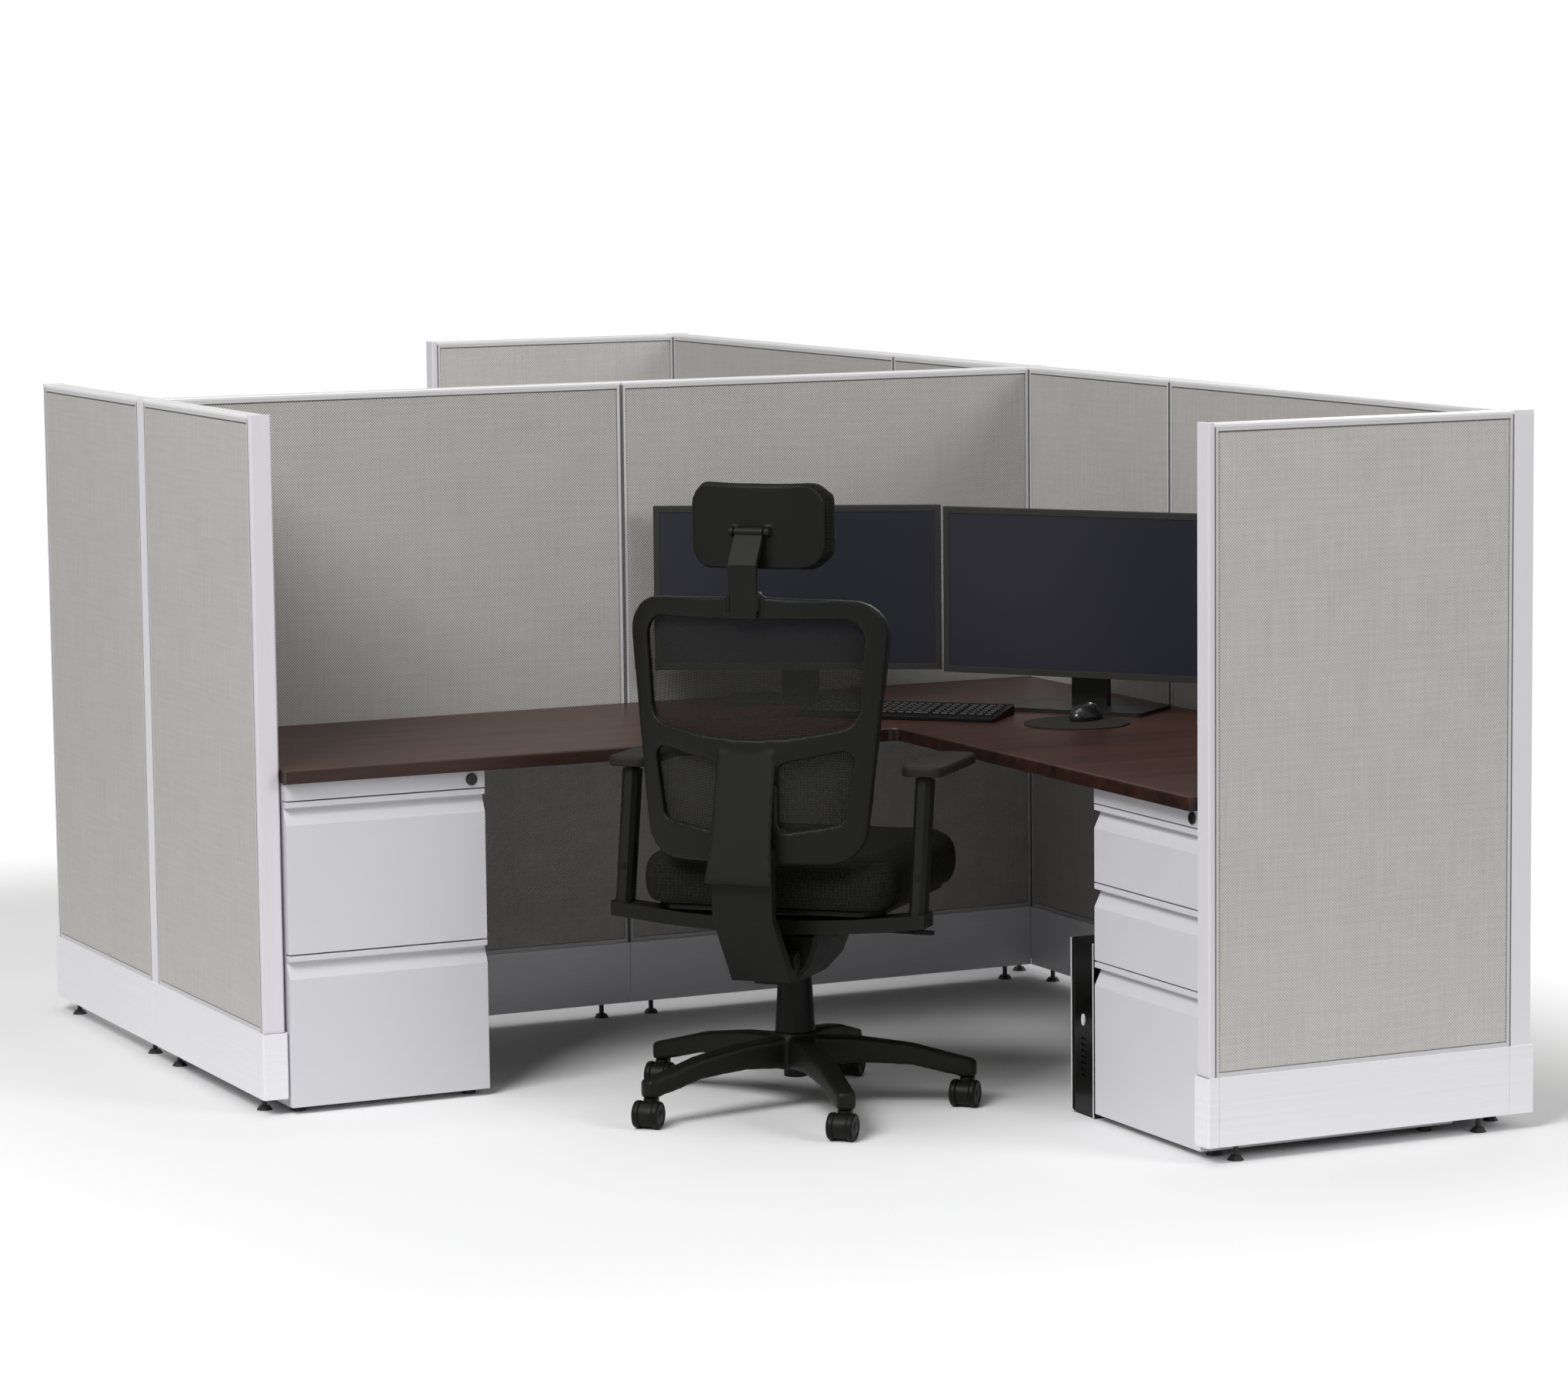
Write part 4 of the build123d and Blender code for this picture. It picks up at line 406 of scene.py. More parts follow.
def softened(node, name, roll, segments=2):
    """A copy of a node's mesh with its sharp edges rolled over, which stands for it."""
    source = frame["nodes"][node]
    mesh = source.data.copy()
    if "custom_normal" in mesh.attributes:
        mesh.attributes.remove(mesh.attributes["custom_normal"])
    shape = bmesh.new()
    shape.from_mesh(mesh)
    bmesh.ops.remove_doubles(shape, verts=shape.verts, dist=weld_gap)
    bmesh.ops.dissolve_limit(
        shape, angle_limit=radians(1.5), verts=shape.verts, edges=shape.edges
    )
    sharp = [e for e in shape.edges if len(e.link_faces) == 2 and e.calc_face_angle() > radians(25)]
    roll_over(shape, sharp, roll, segments)
    smooth_shaded(shape)
    shape.to_mesh(mesh)
    shape.free()
    mesh.set_sharp_from_angle(angle=radians(40))
    piece = bpy.data.objects.new(name, mesh)
    bpy.context.scene.collection.objects.link(piece)
    even = piece.modifiers.new("even_shading", "WEIGHTED_NORMAL")
    even.keep_sharp = True
    return settled(piece, source["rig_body"], node)


for side in ("near", "far"):
    painted(softened(f"worksurface_{side}", f"worktop_{side}", roll=0.0018), mahogany)


# Pedestals: welded sheet-steel cases with drawers on ball slides. Each front is folded so that a
# pull runs the whole width at its top, and its corners are rolled. Smooth silver-white paint.
pedestal_paint = painted_steel(
    "pedestal_powder_coat", (213, 212, 217), roughness=0.36, along=2.0, upright=2.0, relief=0.00003
)
for pedestal, levels in (("file", ("upper", "lower")), ("box", ("upper", "middle", "lower"))):
    for level in levels:
        drawer = softened(
            f"{pedestal}_drawer_{level}", f"{pedestal}_drawer_front_and_tray_{level}",
            roll=0.0022, segments=3,
        )
        painted(drawer, pedestal_paint)
dress(pedestal_paint, "file_pedestal_case", "box_pedestal_case")


# Cam locks: zinc barrels behind a black face with a plain keyway, one fitted through the header
# of each pedestal, where it turns a cam.
lock_black = grained("lock_black", (20, 20, 21), roughness=0.35, grain=1500.0, relief=0.00001)
dress(lock_black, "file_pedestal_lock", "box_pedestal_lock")


# Chair base, gas spring and mechanism: a five-leg nylon base, a steel spring under a black
# sleeve, and a die-cast tilt box with its lever. All matt charcoal to black.
def stood(spot, turn):
    """Where a piece stands, and how far it is turned about the upright, in degrees."""
    return Matrix.Translation(spot) @ Matrix.Rotation(radians(turn), 4, "Z")


def copied(node, name, moved):
    """A new object with a node's mesh, its corners joined, moved to other axes."""
    mesh = frame["nodes"][node].data.copy()
    piece = bpy.data.objects.new(name, mesh)
    bpy.context.scene.collection.objects.link(piece)
    shape = bmesh.new()
    shape.from_mesh(mesh)
    bmesh.ops.remove_doubles(shape, verts=shape.verts, dist=weld_gap)
    bmesh.ops.transform(shape, matrix=moved, verts=shape.verts)
    shape.to_mesh(mesh)
    shape.free()
    return piece


def bake(piece):
    """Applies the piece's modifiers to its mesh."""
    bpy.context.view_layer.update()
    done = piece.evaluated_get(bpy.context.evaluated_depsgraph_get())
    piece.data = bpy.data.meshes.new_from_object(done)
    piece.modifiers.clear()


def even_skin(piece, grain):
    """Melts a piece's mesh to an even skin of small squares."""
    skin = piece.modifiers.new("even_skin", "REMESH")
    skin.mode, skin.voxel_size = "VOXEL", grain
    bake(piece)


def flowing(piece, passes, moved):
    """Rubs a piece's mesh smooth, and moves it."""
    shape = bmesh.new()
    shape.from_mesh(piece.data)
    for _ in range(passes):
        bmesh.ops.smooth_vert(
            shape, verts=shape.verts, factor=0.5,
            use_axis_x=True, use_axis_y=True, use_axis_z=True,
        )
    bmesh.ops.transform(shape, matrix=moved, verts=shape.verts)
    smooth_shaded(shape)
    shape.to_mesh(piece.data)
    shape.free()


def moulded(node, name, grain, passes):
    """A copy of a node's mesh with all its edges flowing over, which stands for it."""
    piece = copied(node, name, Matrix())
    even_skin(piece, grain)
    flowing(piece, passes, Matrix())
    return settled(piece, frame["nodes"][node]["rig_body"], node)


chair = stood((-0.095, -1.155, 0), -45.5)
chair_nylon = grained(
    "charcoal_nylon", (19, 19, 15), roughness=0.44, grain=1300.0, relief=0.00006,
    Specular_IOR_Level=0.16,
)
black_nylon = grained(
    "black_nylon", (17, 17, 15), roughness=0.42, grain=1300.0, relief=0.00005,
    Specular_IOR_Level=0.14,
)
painted(moulded("chair_base", "five_leg_base", grain=0.004, passes=8), chair_nylon)
painted(softened("tilt_mechanism", "tilt_box", roll=0.004, segments=3), black_nylon)
painted(softened("seat_pan", "moulded_seat_pan", roll=0.003), black_nylon)
dress(black_nylon, "gas_spring_tube", "height_lever")
spring_steel = grained(
    "spring_steel", (70, 70, 72), roughness=0.3, grain=900.0, relief=0.00001, Metallic=1.0
)
dress(spring_steel, "gas_spring_piston")


# Casters: a hooded body on a steel stem, and a pair of dished nylon wheels with a rolled
# tread on each axle. The outline runs from the inner face round the tread to the hub, each
# point being so far along the axle and so far from it.
wheel_radius, wheel_inner, caster_ring, caster_trail = 0.029, 0.0145, 0.366, 0.018
wheel_outline = (
    (0.0, 0.0), (0.0, 0.0265), (0.0012, 0.0285), (0.003, 0.029), (0.0105, 0.029), (0.0132, 0.0275),
    (0.0145, 0.0245), (0.0145, 0.0225), (0.0136, 0.0212), (0.013, 0.0095), (0.0142, 0.0078),
    (0.0144, 0.0),
)
for number in range(1, 6):
    angle = pi / 2 + 2 * pi * (number - 1) / 5
    spot = (caster_ring * cos(angle), caster_ring * sin(angle) - caster_trail, wheel_radius)
    shape = bmesh.new()
    for side in (-1, 1):
        rim = [shape.verts.new((side * (wheel_inner + x), 0, r)) for x, r in wheel_outline]
        lines = [shape.edges.new(pair) for pair in zip(rim, rim[1:])]
        bmesh.ops.spin(
            shape, geom=rim + lines, cent=(0, 0, 0), axis=(1, 0, 0), angle=2 * pi, steps=36,
            use_merge=True,
        )
    bmesh.ops.remove_doubles(shape, verts=shape.verts, dist=weld_gap)
    bmesh.ops.recalc_face_normals(shape, faces=shape.faces)
    bmesh.ops.transform(shape, matrix=chair @ Matrix.Translation(spot), verts=shape.verts)
    smooth_shaded(shape)
    wheels = painted(made_from(f"caster_wheel_pair_{number}", shape), black_nylon)
    wheels.data.set_sharp_from_angle(angle=radians(50))
    settled(wheels, f"caster_{number}_pair", f"caster_wheels_{number}")
    hood = softened(f"caster_yoke_{number}", f"caster_hood_{number}", roll=0.002, segments=3)
    painted(hood, chair_nylon)


# Seat: a contoured foam cushion under a stretched knit cover, full at the sides, crowned on top
# and rolled over at the front. The cover is glued under the pan.
cover_pressure, cloth_frames = 4.0, 20


def stuffed(node, name, grain, limit, held_below, cut, passes):
    """A pad from its CAD form, blown up a little inside its cover by a cloth run.

    The cover is cut a little larger than the form, held below a height, and moves no
    farther than the limit."""
    piece = copied(node, name, chair.inverted())
    corners = piece.data.vertices
    middle = sum((v.co for v in corners), Vector()) / len(corners)
    for vertex in corners:
        vertex.co = middle + (vertex.co - middle) * Vector(cut)
    even_skin(piece, grain)
    start = [v.co.copy() for v in piece.data.vertices]
    held = piece.vertex_groups.new(name="held")
    held.add([v.index for v in piece.data.vertices if v.co.z < held_below], 1.0, "REPLACE")
    cover = piece.modifiers.new("cover", "CLOTH").settings
    cover.use_pressure = True
    cover.uniform_pressure_force = cover_pressure
    cover.vertex_group_mass = "held"
    cover.effector_weights.gravity = 0.0
    for step in range(1, cloth_frames + 1):
        bpy.context.scene.frame_set(step)
    bake(piece)
    bpy.context.scene.frame_set(1)
    for vertex, rest in zip(piece.data.vertices, start):
        moved = vertex.co - rest
        if moved.length > limit:
            vertex.co = rest + moved.normalized() * limit
    flowing(piece, passes, chair)
    finer = piece.modifiers.new("finer", "SUBSURF")
    finer.levels = finer.render_levels = 1
    return piece


knit_cover, given, made = effect("knit_cover", ["Color", "Pitch"], ["Color", "Roughness", "Height"])
tree = knit_cover
here = place(tree, "TexCoord").outputs["Object"]
cells = place(tree, "TexVoronoi", {"Vector": here, "Scale": given["Pitch"], "Randomness": 0.35})
loops = sums(tree, "SUBTRACT", 0.5, cells.outputs[0])
loop_shade = sums(tree, "MULTIPLY", loops, 2.6)
shade = sums(tree, "ADD", loop_shade, swing(tree, here, scale=9.0, size=0.2))
tree.links.new(tinted(tree, given["Color"], shade), made["Color"])
tree.links.new(sums(tree, "ADD", 0.75, sums(tree, "MULTIPLY", loops, 0.3)), made["Roughness"])
tree.links.new(loops, made["Height"])
knit = finish(
    "charcoal_knit", knit_cover, {"Color": srgb(22, 22, 19), "Pitch": 150.0}, relief=0.0025,
    Specular_IOR_Level=0.1,
)
seat = stuffed(
    "seat_cushion", "seat_cushion_knit", grain=0.008, limit=0.01, held_below=0.466,
    cut=(1.035, 1.02, 1.0), passes=10,
)
painted(seat, knit)
settled(seat, "seat_body", "seat_cushion")


# Arms: a bent steel bar under the seat with a hollow nylon post at each end, and a soft T-shaped
# pad on a stem that slides in each post.
arm_foam = grained(
    "arm_pad_polyurethane", (38, 37, 34), roughness=0.6, grain=800.0, relief=0.00008,
    Specular_IOR_Level=0.12,
)
painted(softened("arm_bracket", "arm_bar_and_posts", roll=0.003, segments=3), chair_nylon)
for hand in ("left", "right"):
    painted(softened(f"armrest_{hand}", f"arm_pad_{hand}", roll=0.004, segments=3), arm_foam)
    dress(black_nylon, f"arm_button_{hand}")


# Back: a glass-filled nylon loop with a cross member, two lower windows and a flared cover over
# the bar, bent in one mould. The J bar below it pivots on the tilt box.
painted(moulded("back_frame", "bent_back_loop", grain=0.004, passes=7), chair_nylon)
painted(softened("back_spine", "back_carrier_bar", roll=0.005, segments=3), chair_nylon)


# Back mesh: open black mesh cloth stretched over the front of the loop and held in its groove.
# It follows the loop's bend, and widens from its lower edge to its upper one.
back_rear, back_foot = -0.165, 0.563
mesh_low, mesh_high, mesh_low_half, mesh_high_half = 0.022, 0.512, 0.213, 0.27
loop_radius, loop_depth, cloth_gap, mesh_corner = 0.4963, 0.095, 0.0011, 0.038
bend_radius, bend_depth = loop_radius - cloth_gap, loop_radius - loop_depth
back = chair @ Matrix(((1, 0, 0, 0), (0, 0, -1, back_rear), (0, 1, 0, back_foot), (0, 0, 0, 1)))
shape = bmesh.new()
bmesh.ops.create_grid(shape, x_segments=56, y_segments=48, size=1.0)
layer = shape.loops.layers.uv.new("cloth")
for vertex in shape.verts:
    share = (vertex.co.y + 1) / 2
    rise = mesh_low + share * (mesh_high - mesh_low)
    half = mesh_low_half + share * (mesh_high_half - mesh_low_half)
    near_end = max(0.0, mesh_corner - min(rise - mesh_low, mesh_high - rise))
    half -= mesh_corner - sqrt(max(0.0, mesh_corner**2 - near_end**2))
    x = vertex.co.x * half
    vertex.co = (x, rise, sqrt(bend_radius**2 - x**2) - bend_depth)
smooth_shaded(shape)
for face in shape.faces:
    for loop in face.loops:
        x, y, z = loop.vert.co
        loop[layer].uv = (bend_radius * asin(x / bend_radius), y)
mesh_area = sum(face.calc_area() for face in shape.faces)
bmesh.ops.transform(shape, matrix=back, verts=shape.verts)
bmesh.ops.recalc_face_normals(shape, faces=shape.faces)
back_cloth = made_from("back_mesh_cloth", shape)

hole_stretch, hole_blur = 1.25, 0.25
open_mesh, given, made = effect(
    "open_mesh", ["Color", "Pitch", "Opening"], ["Color", "Height", "Alpha"]
)
tree = open_mesh
flat = place(tree, "UVMap", uv_map="cloth").outputs[0]
apart = place(tree, "SeparateXYZ", {0: flat}).outputs
turns = sums(tree, "DIVIDE", 2 * pi, given["Pitch"])
across = sums(tree, "COSINE", sums(tree, "MULTIPLY", apart["X"], turns))
upright = sums(tree, "MULTIPLY", sums(tree, "MULTIPLY", apart["Y"], turns), hole_stretch)
upright = sums(tree, "COSINE", upright)
depth = sums(tree, "ADD", across, upright)
solid = place(tree, "MapRange", {
    "Value": depth,
    "From Min": sums(tree, "SUBTRACT", given["Opening"], hole_blur),
    "From Max": sums(tree, "ADD", given["Opening"], hole_blur),
    "To Min": 1.0, "To Max": 0.0,
}).outputs[0]
shade = sums(tree, "MULTIPLY", depth, -0.2)
tree.links.new(tinted(tree, given["Color"], shade), made["Color"])
tree.links.new(sums(tree, "MULTIPLY", depth, -1.0), made["Height"])
tree.links.new(solid, made["Alpha"])
mesh_yarn = finish(
    "open_black_mesh", open_mesh, {"Color": srgb(22, 22, 20), "Pitch": 0.0028, "Opening": 0.7},
    relief=0.0004, Roughness=0.7, Specular_IOR_Level=0.3,
)
painted(back_cloth, mesh_yarn)
settled(back_cloth, "back_body", "back_mesh")


# Headrest: a curved plate on a bent strap, with a pad of foam under the same knit as the seat.
# Nothing holds the pad's cover, so it fills out evenly.
painted(softened("headrest_stem", "headrest_strap", roll=0.0035, segments=3), chair_nylon)
painted(moulded("headrest_shell", "headrest_plate", grain=0.0025, passes=6), chair_nylon)
pad = stuffed(
    "headrest_pad", "headrest_pad_knit", grain=0.005, limit=0.004, held_below=0.0,
    cut=(1.0, 1.0, 1.0), passes=26,
)
painted(pad, knit)
settled(pad, "headrest_body", "headrest_pad")


# Monitors: wide displays in a dark grey housing with a slim bezel, hung by a tilt barrel on the
# neck of a flat metal stand. The screens are off: bare dark glass with a trace of blue in a
# black border, over a narrow grey ledge.
screen_width, screen_height, screen_middle = 0.6346, 0.3506, 1.0125
screen_front, glass_thickness, screen_border = 0.0014, 0.0005, 0.0045
ledge_height, ledge_proud = 0.0013, 0.0012
bezel_grey = grained(
    "bezel_grey", (46, 46, 45), roughness=0.5, grain=1500.0, relief=0.00002,
    Specular_IOR_Level=0.25,
)
stand_black = grained(
    "stand_black", (30, 30, 29), roughness=0.38, grain=1800.0, relief=0.00001,
    Specular_IOR_Level=0.3,
)
ledge_grey = grained(
    "screen_ledge", (98, 98, 110), roughness=0.4, grain=1500.0, relief=0.00001,
    Specular_IOR_Level=0.3,
)
dark_glass, given, made = effect("dark_glass", ["Color"], ["Color", "Roughness"])
tree = dark_glass
here = place(tree, "TexCoord").outputs["Object"]
smear = swing(tree, here, scale=3.0, size=0.04, detail=0.0)
tree.links.new(tinted(tree, given["Color"], smear), made["Color"])
tree.links.new(sums(tree, "ADD", 0.3, smear), made["Roughness"])
screen_glass = finish(
    "screen_glass", dark_glass, {"Color": srgb(37, 37, 47)}, Specular_IOR_Level=0.25
)
border_black = finish(
    "screen_border", dark_glass, {"Color": srgb(12, 12, 13)}, Specular_IOR_Level=0.2
)
for hand, x, y, turn in (("left", 0.353, -0.256, -29.8), ("right", 0.826, -0.728, -52.9)):
    housing = softened(f"monitor_{hand}_head", f"monitor_{hand}_housing", roll=0.0015)
    painted(housing, bezel_grey)
    stand = softened(f"monitor_{hand}_stand", f"monitor_{hand}_neck_and_foot", roll=0.0015)
    painted(stand, stand_black)
    shape = bmesh.new()
    bmesh.ops.create_cube(shape, size=1.0)
    glass_size = (screen_width, glass_thickness, screen_height)
    glass_middle = (0, screen_front + glass_thickness / 2, screen_middle)
    bmesh.ops.scale(shape, vec=glass_size, verts=shape.verts)
    bmesh.ops.translate(shape, vec=glass_middle, verts=shape.verts)
    front = min(shape.faces, key=lambda face: face.calc_center_median().y)
    bmesh.ops.inset_region(
        shape, faces=[front], thickness=screen_border, depth=0.0, use_even_offset=True
    )
    for face in shape.faces:
        face.material_index = 0 if face == front else 1
    glass = set(shape.faces)
    foot = screen_middle - screen_height / 2
    strip(
        shape, Vector((-screen_width / 2, screen_front - ledge_proud, foot)),
        Vector((screen_width / 2, screen_front + glass_thickness / 2, foot + ledge_height)),
    )
    for face in set(shape.faces) - glass:
        face.material_index = 2
    bmesh.ops.transform(shape, matrix=stood((x, y, 0), turn), verts=shape.verts)
    screen = painted(made_from(f"monitor_{hand}_screen", shape), screen_glass)
    screen.data.materials.append(border_black)
    screen.data.materials.append(ledge_grey)
    settled(screen, f"monitor_{hand}")


# Keyboard: a thin black wedge with a raised rim round six rows of low tapered keys, each
# key its own cap. It lies loose on the worksurface.
board = stood((0.469, -0.572, 0.742), -44.5)
board_width, board_depth, board_front, board_rear, board_corner = 0.47, 0.174, 0.009, 0.022, 0.008
rim_width, rim_roll, deck_drop, first_row = 0.006, 0.001, 0.0016, 0.014
key_pitch, key_size, key_rise, key_top_share = 0.0196, 0.0168, 0.0042, 0.74
key_rows, key_blocks = 6, ((-3.9, 15), (5.4, 3), (9.2, 4))
last_row = [(0, 1), (1, 1), (2, 1), (3, 7), (10, 1), (11, 1), (12, 1), (13, 2)]
slope = (board_rear - board_front) / board_depth
shape = bmesh.new()
bmesh.ops.create_cube(shape, size=1.0)
bmesh.ops.scale(shape, vec=(board_width, board_depth, 1.0), verts=shape.verts)
for vertex in shape.verts:
    top = board_front + (vertex.co.y + board_depth / 2) * slope
    vertex.co.z = top if vertex.co.z > 0 else 0.0
corners = [e for e in shape.edges if (e.verts[0].co - e.verts[1].co).xy.length < weld_gap]
roll_over(shape, corners, board_corner, segments=5)
tops = [face for face in shape.faces if face.normal.z > 0.9]
deck = max(tops, key=lambda face: face.calc_center_median().z)
bmesh.ops.inset_region(
    shape, faces=[deck], thickness=rim_width, depth=-deck_drop, use_even_offset=True
)
rims = [e for e in shape.edges if e.calc_face_angle(0) > radians(25)]
roll_over(shape, rims, rim_roll, segments=2)
for row in range(key_rows):
    across = board_depth / 2 - first_row - (row + 0.5) * key_pitch
    deck_height = board_front + (across + board_depth / 2) * slope - deck_drop
    for centre, columns in key_blocks:
        spans = [(column, 1) for column in range(columns)]
        if columns == 15 and row == key_rows - 1:
            spans = last_row
        for column, width in spans:
            along = centre * key_pitch + (column + width / 2 - columns / 2) * key_pitch
            key = bmesh.ops.create_cube(shape, size=1.0)["verts"]
            wide = key_size + (width - 1) * key_pitch
            bmesh.ops.scale(shape, vec=(wide, key_size, key_rise), verts=key)
            for vertex in key:
                if vertex.co.z > 0:
                    taper = (1 - key_top_share) * key_size / 2
                    vertex.co.x += taper if vertex.co.x < 0 else -taper
                    vertex.co.y *= key_top_share
            key_middle = (along, across, deck_height + key_rise / 2)
            bmesh.ops.translate(shape, vec=key_middle, verts=key)
bmesh.ops.transform(shape, matrix=board, verts=shape.verts)
keys = made_from("keyboard_body_and_keys", shape)
soft_edges = keys.modifiers.new("soft_edges", "BEVEL")
soft_edges.width, soft_edges.segments, soft_edges.limit_method = 0.0006, 2, "ANGLE"
key_black = grained(
    "key_black", (15, 15, 15), roughness=0.4, grain=1500.0, relief=0.00002,
    Specular_IOR_Level=0.14,
)
settled(painted(keys, key_black), "workstation", "keyboard")


# Mouse: a low gloss shell with a bright ring round its wheel, on a round rubber-backed pad
# with a plain cloth top. The shell is a ball cut flat below its middle, drawn in at the waist
# and lowered towards the front.
mouse = stood((0.772, -0.872, 0.745), -62.0)
mouse_half_width, mouse_half_length, mouse_rise = 0.031, 0.052, 0.037
ball_cut, waist_in, nose_drop = -0.25, 0.1, 0.18
ring_radius, ring_thickness = 0.0125, 0.0011
shape = bmesh.new()
bmesh.ops.create_uvsphere(shape, u_segments=40, v_segments=24, radius=1.0)
cut = bmesh.ops.bisect_plane(
    shape, geom=shape.verts[:] + shape.edges[:] + shape.faces[:],
    plane_co=(0, 0, ball_cut), plane_no=(0, 0, -1), clear_outer=True,
)
opening = [e for e in cut["geom_cut"] if isinstance(e, bmesh.types.BMEdge)]
bmesh.ops.contextual_create(shape, geom=opening)
for vertex in shape.verts:
    x, y, z = vertex.co
    half_width = mouse_half_width * (1 - waist_in * (1 - y * y))
    height = mouse_rise * (1 - nose_drop * max(0.0, y))
    lift = (z - ball_cut) / (1 - ball_cut)
    vertex.co = (x * half_width, y * mouse_half_length, lift * height)
bmesh.ops.transform(shape, matrix=mouse, verts=shape.verts)
smooth_shaded(shape)
shell = made_from("mouse_shell", shape)
shell.data.set_sharp_from_angle(angle=radians(50))
mouse_gloss = grained("mouse_gloss", (32, 32, 34), roughness=0.16, grain=1500.0, relief=0.00001)
settled(painted(shell, mouse_gloss), "workstation", "mouse")

shape = bmesh.new()
ring = bmesh.ops.create_circle(shape, segments=10, radius=ring_thickness)["verts"]
bmesh.ops.rotate(shape, cent=(0, 0, 0), matrix=Matrix.Rotation(pi / 2, 3, "X"), verts=ring)
bmesh.ops.translate(shape, vec=(ring_radius, 0, 0), verts=ring)
bmesh.ops.spin(
    shape, geom=shape.verts[:] + shape.edges[:], cent=(0, 0, 0), axis=(0, 0, 1), angle=2 * pi,
    steps=40, use_merge=True,
)
bmesh.ops.remove_doubles(shape, verts=shape.verts, dist=weld_gap)
bmesh.ops.recalc_face_normals(shape, faces=shape.faces)
wheel_spot = Matrix.Translation((0, 0.024, 0.031)) @ Matrix.Rotation(radians(-24), 4, "X")
bmesh.ops.transform(shape, matrix=mouse @ wheel_spot, verts=shape.verts)
smooth_shaded(shape)
bright_trim = grained(
    "bright_trim", (205, 205, 208), roughness=0.14, grain=900.0, relief=0.00001, Metallic=1.0
)
bright_ring = painted(made_from("mouse_ring", shape), bright_trim)
settled(bright_ring, "workstation")

pad_cloth = finish(
    "mouse_pad_cloth", knit_cover, {"Color": srgb(40, 39, 36), "Pitch": 900.0}, relief=0.0003,
    Specular_IOR_Level=0.2,
)
dress(pad_cloth, "mouse_pad")


# Computer: a slim upright steel case in gloss black, with a bright strip down each edge of its
# front, a row of vent slots and an oval power button in a bright ring.
tower_gloss = grained(
    "tower_gloss", (12, 12, 11), roughness=0.14, grain=900.0, relief=0.00001,
    Specular_IOR_Level=0.2,
)
dress(tower_gloss, "computer_tower")
[(tower_low, tower_high)] = islands("computer_tower")
strip_width, strip_proud, strip_foot, strip_head = 0.004, 0.0008, 0.004, 0.001
shape = bmesh.new()
for edge in (tower_low.y, tower_high.y - strip_width):
    strip(
        shape, Vector((tower_low.x - strip_proud, edge, tower_low.z + strip_foot)),
        Vector((tower_low.x + strip_proud, edge + strip_width, tower_high.z - strip_head)),
    )
bright_strip = grained(
    "bright_edge_strip", (226, 226, 230), roughness=0.3, grain=900.0, relief=0.00001, Metallic=0.2
)
strips = painted(made_from("tower_edge_strips", shape), bright_strip)
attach(strips, "workstation")
dress(bright_strip, "tower_power_button")


# Studio: a pale floor that melts into a white background a little way from the part, a large
# soft lamp high on the left, a fill lamp in front on the right, weak ones above and behind,
# and a faint one that stops the far station's floor from going dark.
floor_radius, floor_drop = 60.0, -0.0003
part_half_size, fade_from, fade_to = (1.15, 2.1, 0), 0.05, 1.3
floor_glow, glow_when_seen = 0.3, 0.75
air_glow, air_when_seen, air_in_gloss = 0.19, 1.06, 0.35
shape = bmesh.new()
bmesh.ops.create_circle(shape, segments=96, radius=floor_radius, cap_ends=True)
bmesh.ops.translate(shape, vec=(0, 0, floor_drop), verts=shape.verts)
studio_floor = made_from("studio_floor", shape)
floor_white = bpy.data.materials.new("floor_white")
floor_white.use_nodes = True
tree = floor_white.node_tree
shader = tree.nodes["Principled BSDF"]
shader.inputs["Base Color"].default_value = srgb(240, 240, 241)
shader.inputs["Roughness"].default_value = 0.9
shader.inputs["Specular IOR Level"].default_value = 0.0
rays = place(tree, "LightPath").outputs
seen = sums(tree, "MAXIMUM", rays["Is Camera Ray"], rays["Is Glossy Ray"])
glow = sums(tree, "ADD", floor_glow, sums(tree, "MULTIPLY", seen, glow_when_seen))
white = place(tree, "Emission", {"Color": (1, 1, 1, 1), "Strength": glow})
here = place(tree, "TexCoord").outputs["Object"]
far_side = place(tree, "VectorMath", {0: here}, operation="ABSOLUTE").outputs[0]
beyond = place(tree, "VectorMath", {0: far_side, 1: part_half_size}, operation="SUBTRACT")
beyond = place(tree, "VectorMath", {0: beyond.outputs[0], 1: (0, 0, 0)}, operation="MAXIMUM")
reach = place(tree, "VectorMath", {0: beyond.outputs[0]}, operation="LENGTH").outputs["Value"]
fade = place(
    tree, "MapRange", {"Value": reach, "From Min": fade_from, "From Max": fade_to},
    interpolation_type="SMOOTHSTEP",
).outputs[0]
floor_look = place(tree, "MixShader", {0: fade, 1: shader.outputs[0], 2: white.outputs[0]})
tree.links.new(floor_look.outputs[0], tree.nodes["Material Output"].inputs["Surface"])
studio_floor.data.materials.append(floor_white)

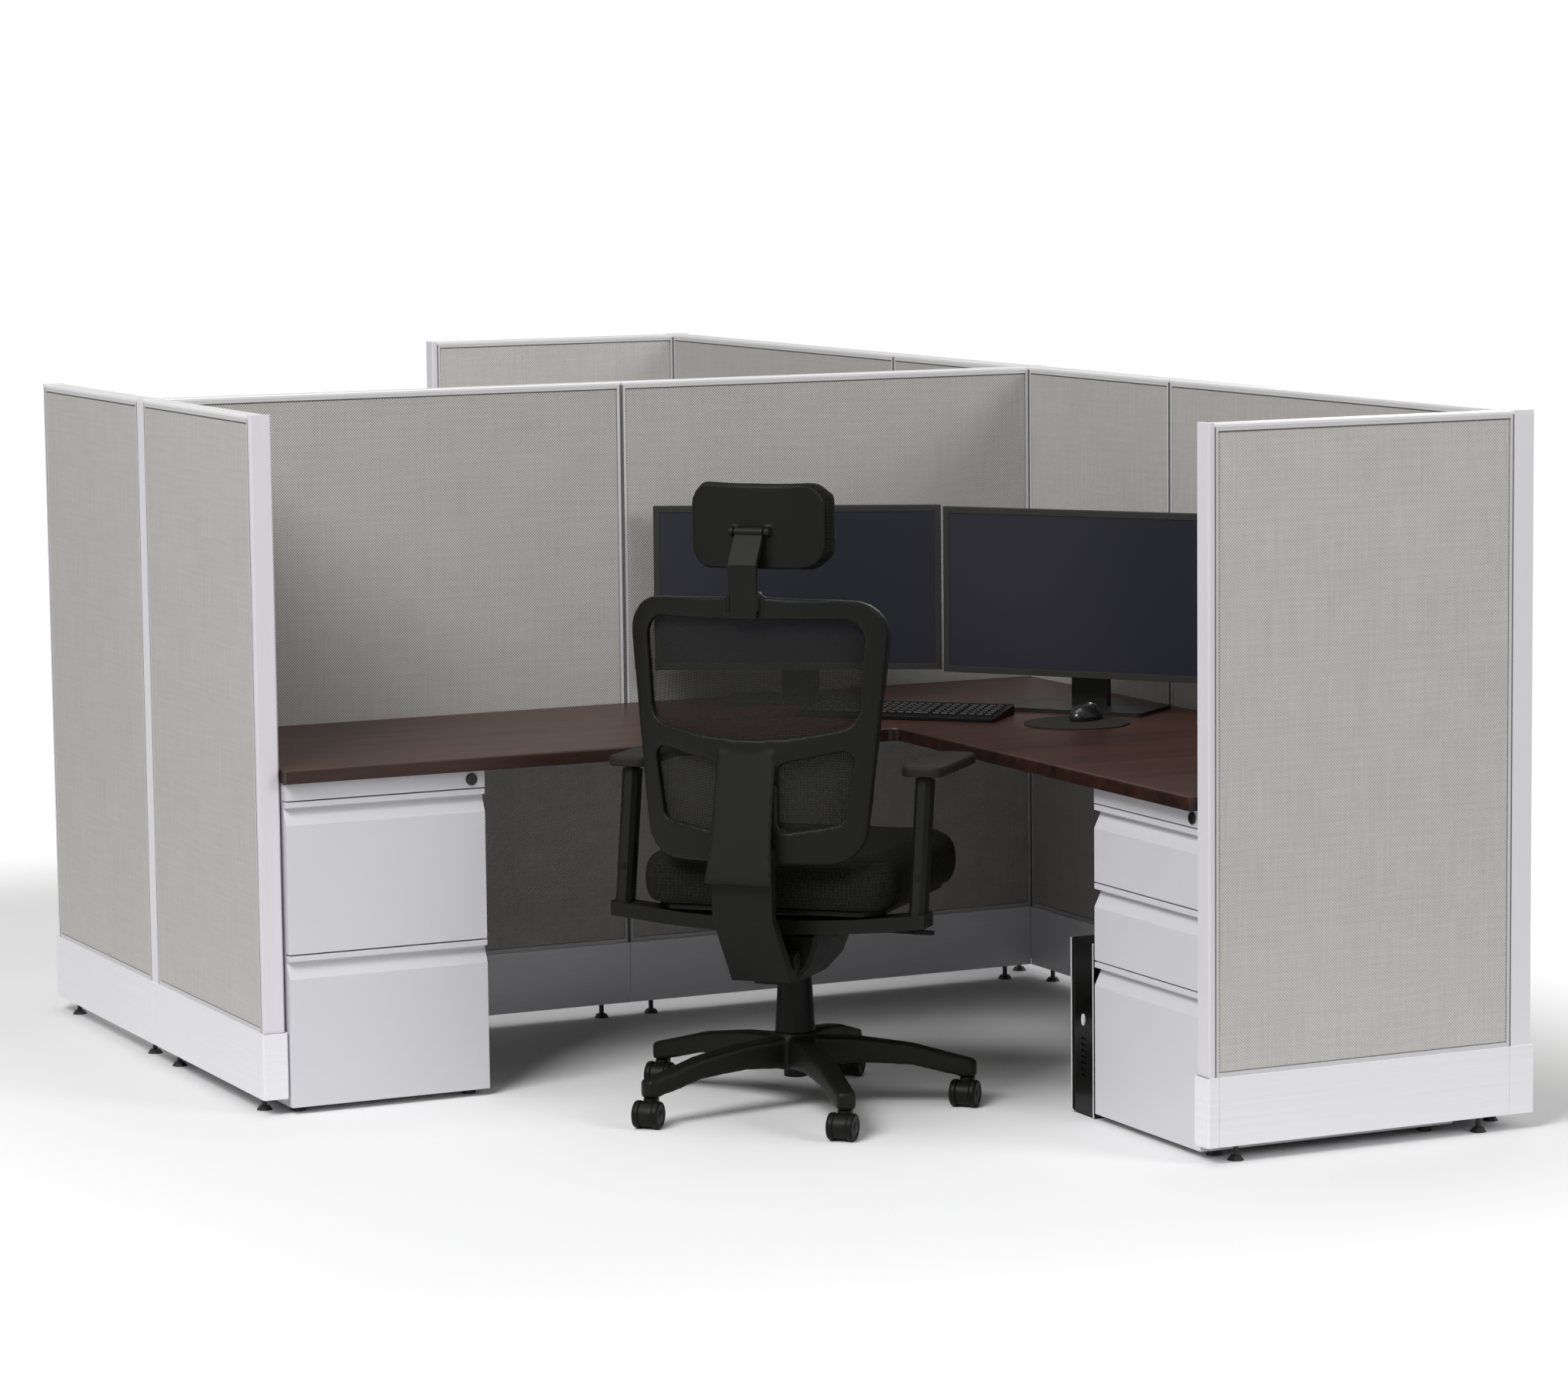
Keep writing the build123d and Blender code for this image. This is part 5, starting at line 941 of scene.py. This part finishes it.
world = bpy.data.worlds.new("studio_air")
bpy.context.scene.world = world
world.use_nodes = True
tree = world.node_tree
rays = place(tree, "LightPath").outputs
direct = sums(tree, "MAXIMUM", rays["Is Camera Ray"], rays["Is Transmission Ray"])
glossy = sums(tree, "MULTIPLY", rays["Is Glossy Ray"], air_in_gloss)
seen = sums(tree, "MAXIMUM", direct, glossy)
strength = place(
    tree, "MapRange", {"Value": seen, "To Min": air_glow, "To Max": air_when_seen}
).outputs[0]
tree.nodes["Background"].inputs["Color"].default_value = (1, 1, 0.95, 1)
tree.links.new(strength, tree.nodes["Background"].inputs["Strength"])

for name, spot, aim, size, power in (
    ("key_lamp", (-7.2, -5.0, 8.6), (0.0, -0.4, 0.5), (5.0, 5.0), 1000.0),
    ("fill_lamp", (5.5, -9.0, 5.2), (0.8, -1.6, 0.8), (4.0, 4.0), 320.0),
    ("top_lamp", (0.0, 0.0, 6.5), (0.0, -0.2, 0.0), (4.0, 4.0), 90.0),
    ("rear_lamp", (7.0, 5.0, 4.5), (1.2, 0.0, 0.0), (4.0, 4.0), 160.0),
    ("far_floor_lamp", (0.0, 0.45, 0.65), (0.0, 0.3, 0.0), (2.0, 0.5), 3.5),
):
    lamp = bpy.data.lights.new(name, "AREA")
    lamp.shape, lamp.energy = "RECTANGLE", power
    lamp.size, lamp.size_y = size
    holder = bpy.data.objects.new(name, lamp)
    holder.location = spot
    holder.rotation_euler = (Vector(aim) - Vector(spot)).to_track_quat("-Z", "Y").to_euler()
    bpy.context.scene.collection.objects.link(holder)

camera_data = bpy.data.cameras.new("studio_camera")
camera_data.sensor_width, camera_data.lens, camera_data.clip_end = 36.0, 114.94, 200.0
camera = bpy.data.objects.new("studio_camera", camera_data)
camera_spot = Matrix.Translation((-4.6338, -10.6345, 2.1332))
yaw, dip, roll = 0.445, 0.1194, -0.0112
ahead = Vector((sin(yaw) * cos(dip), cos(yaw) * cos(dip), -sin(dip)))
level = Vector((cos(yaw), -sin(yaw), 0))
above = level.cross(ahead)
right = level * cos(roll) + above * sin(roll)
upward = above * cos(roll) - level * sin(roll)
camera.matrix_world = camera_spot @ Matrix((right, upward, -ahead)).transposed().to_4x4()
bpy.context.scene.collection.objects.link(camera)
bpy.context.scene.camera = camera
bpy.context.scene.view_settings.view_transform = "Standard"
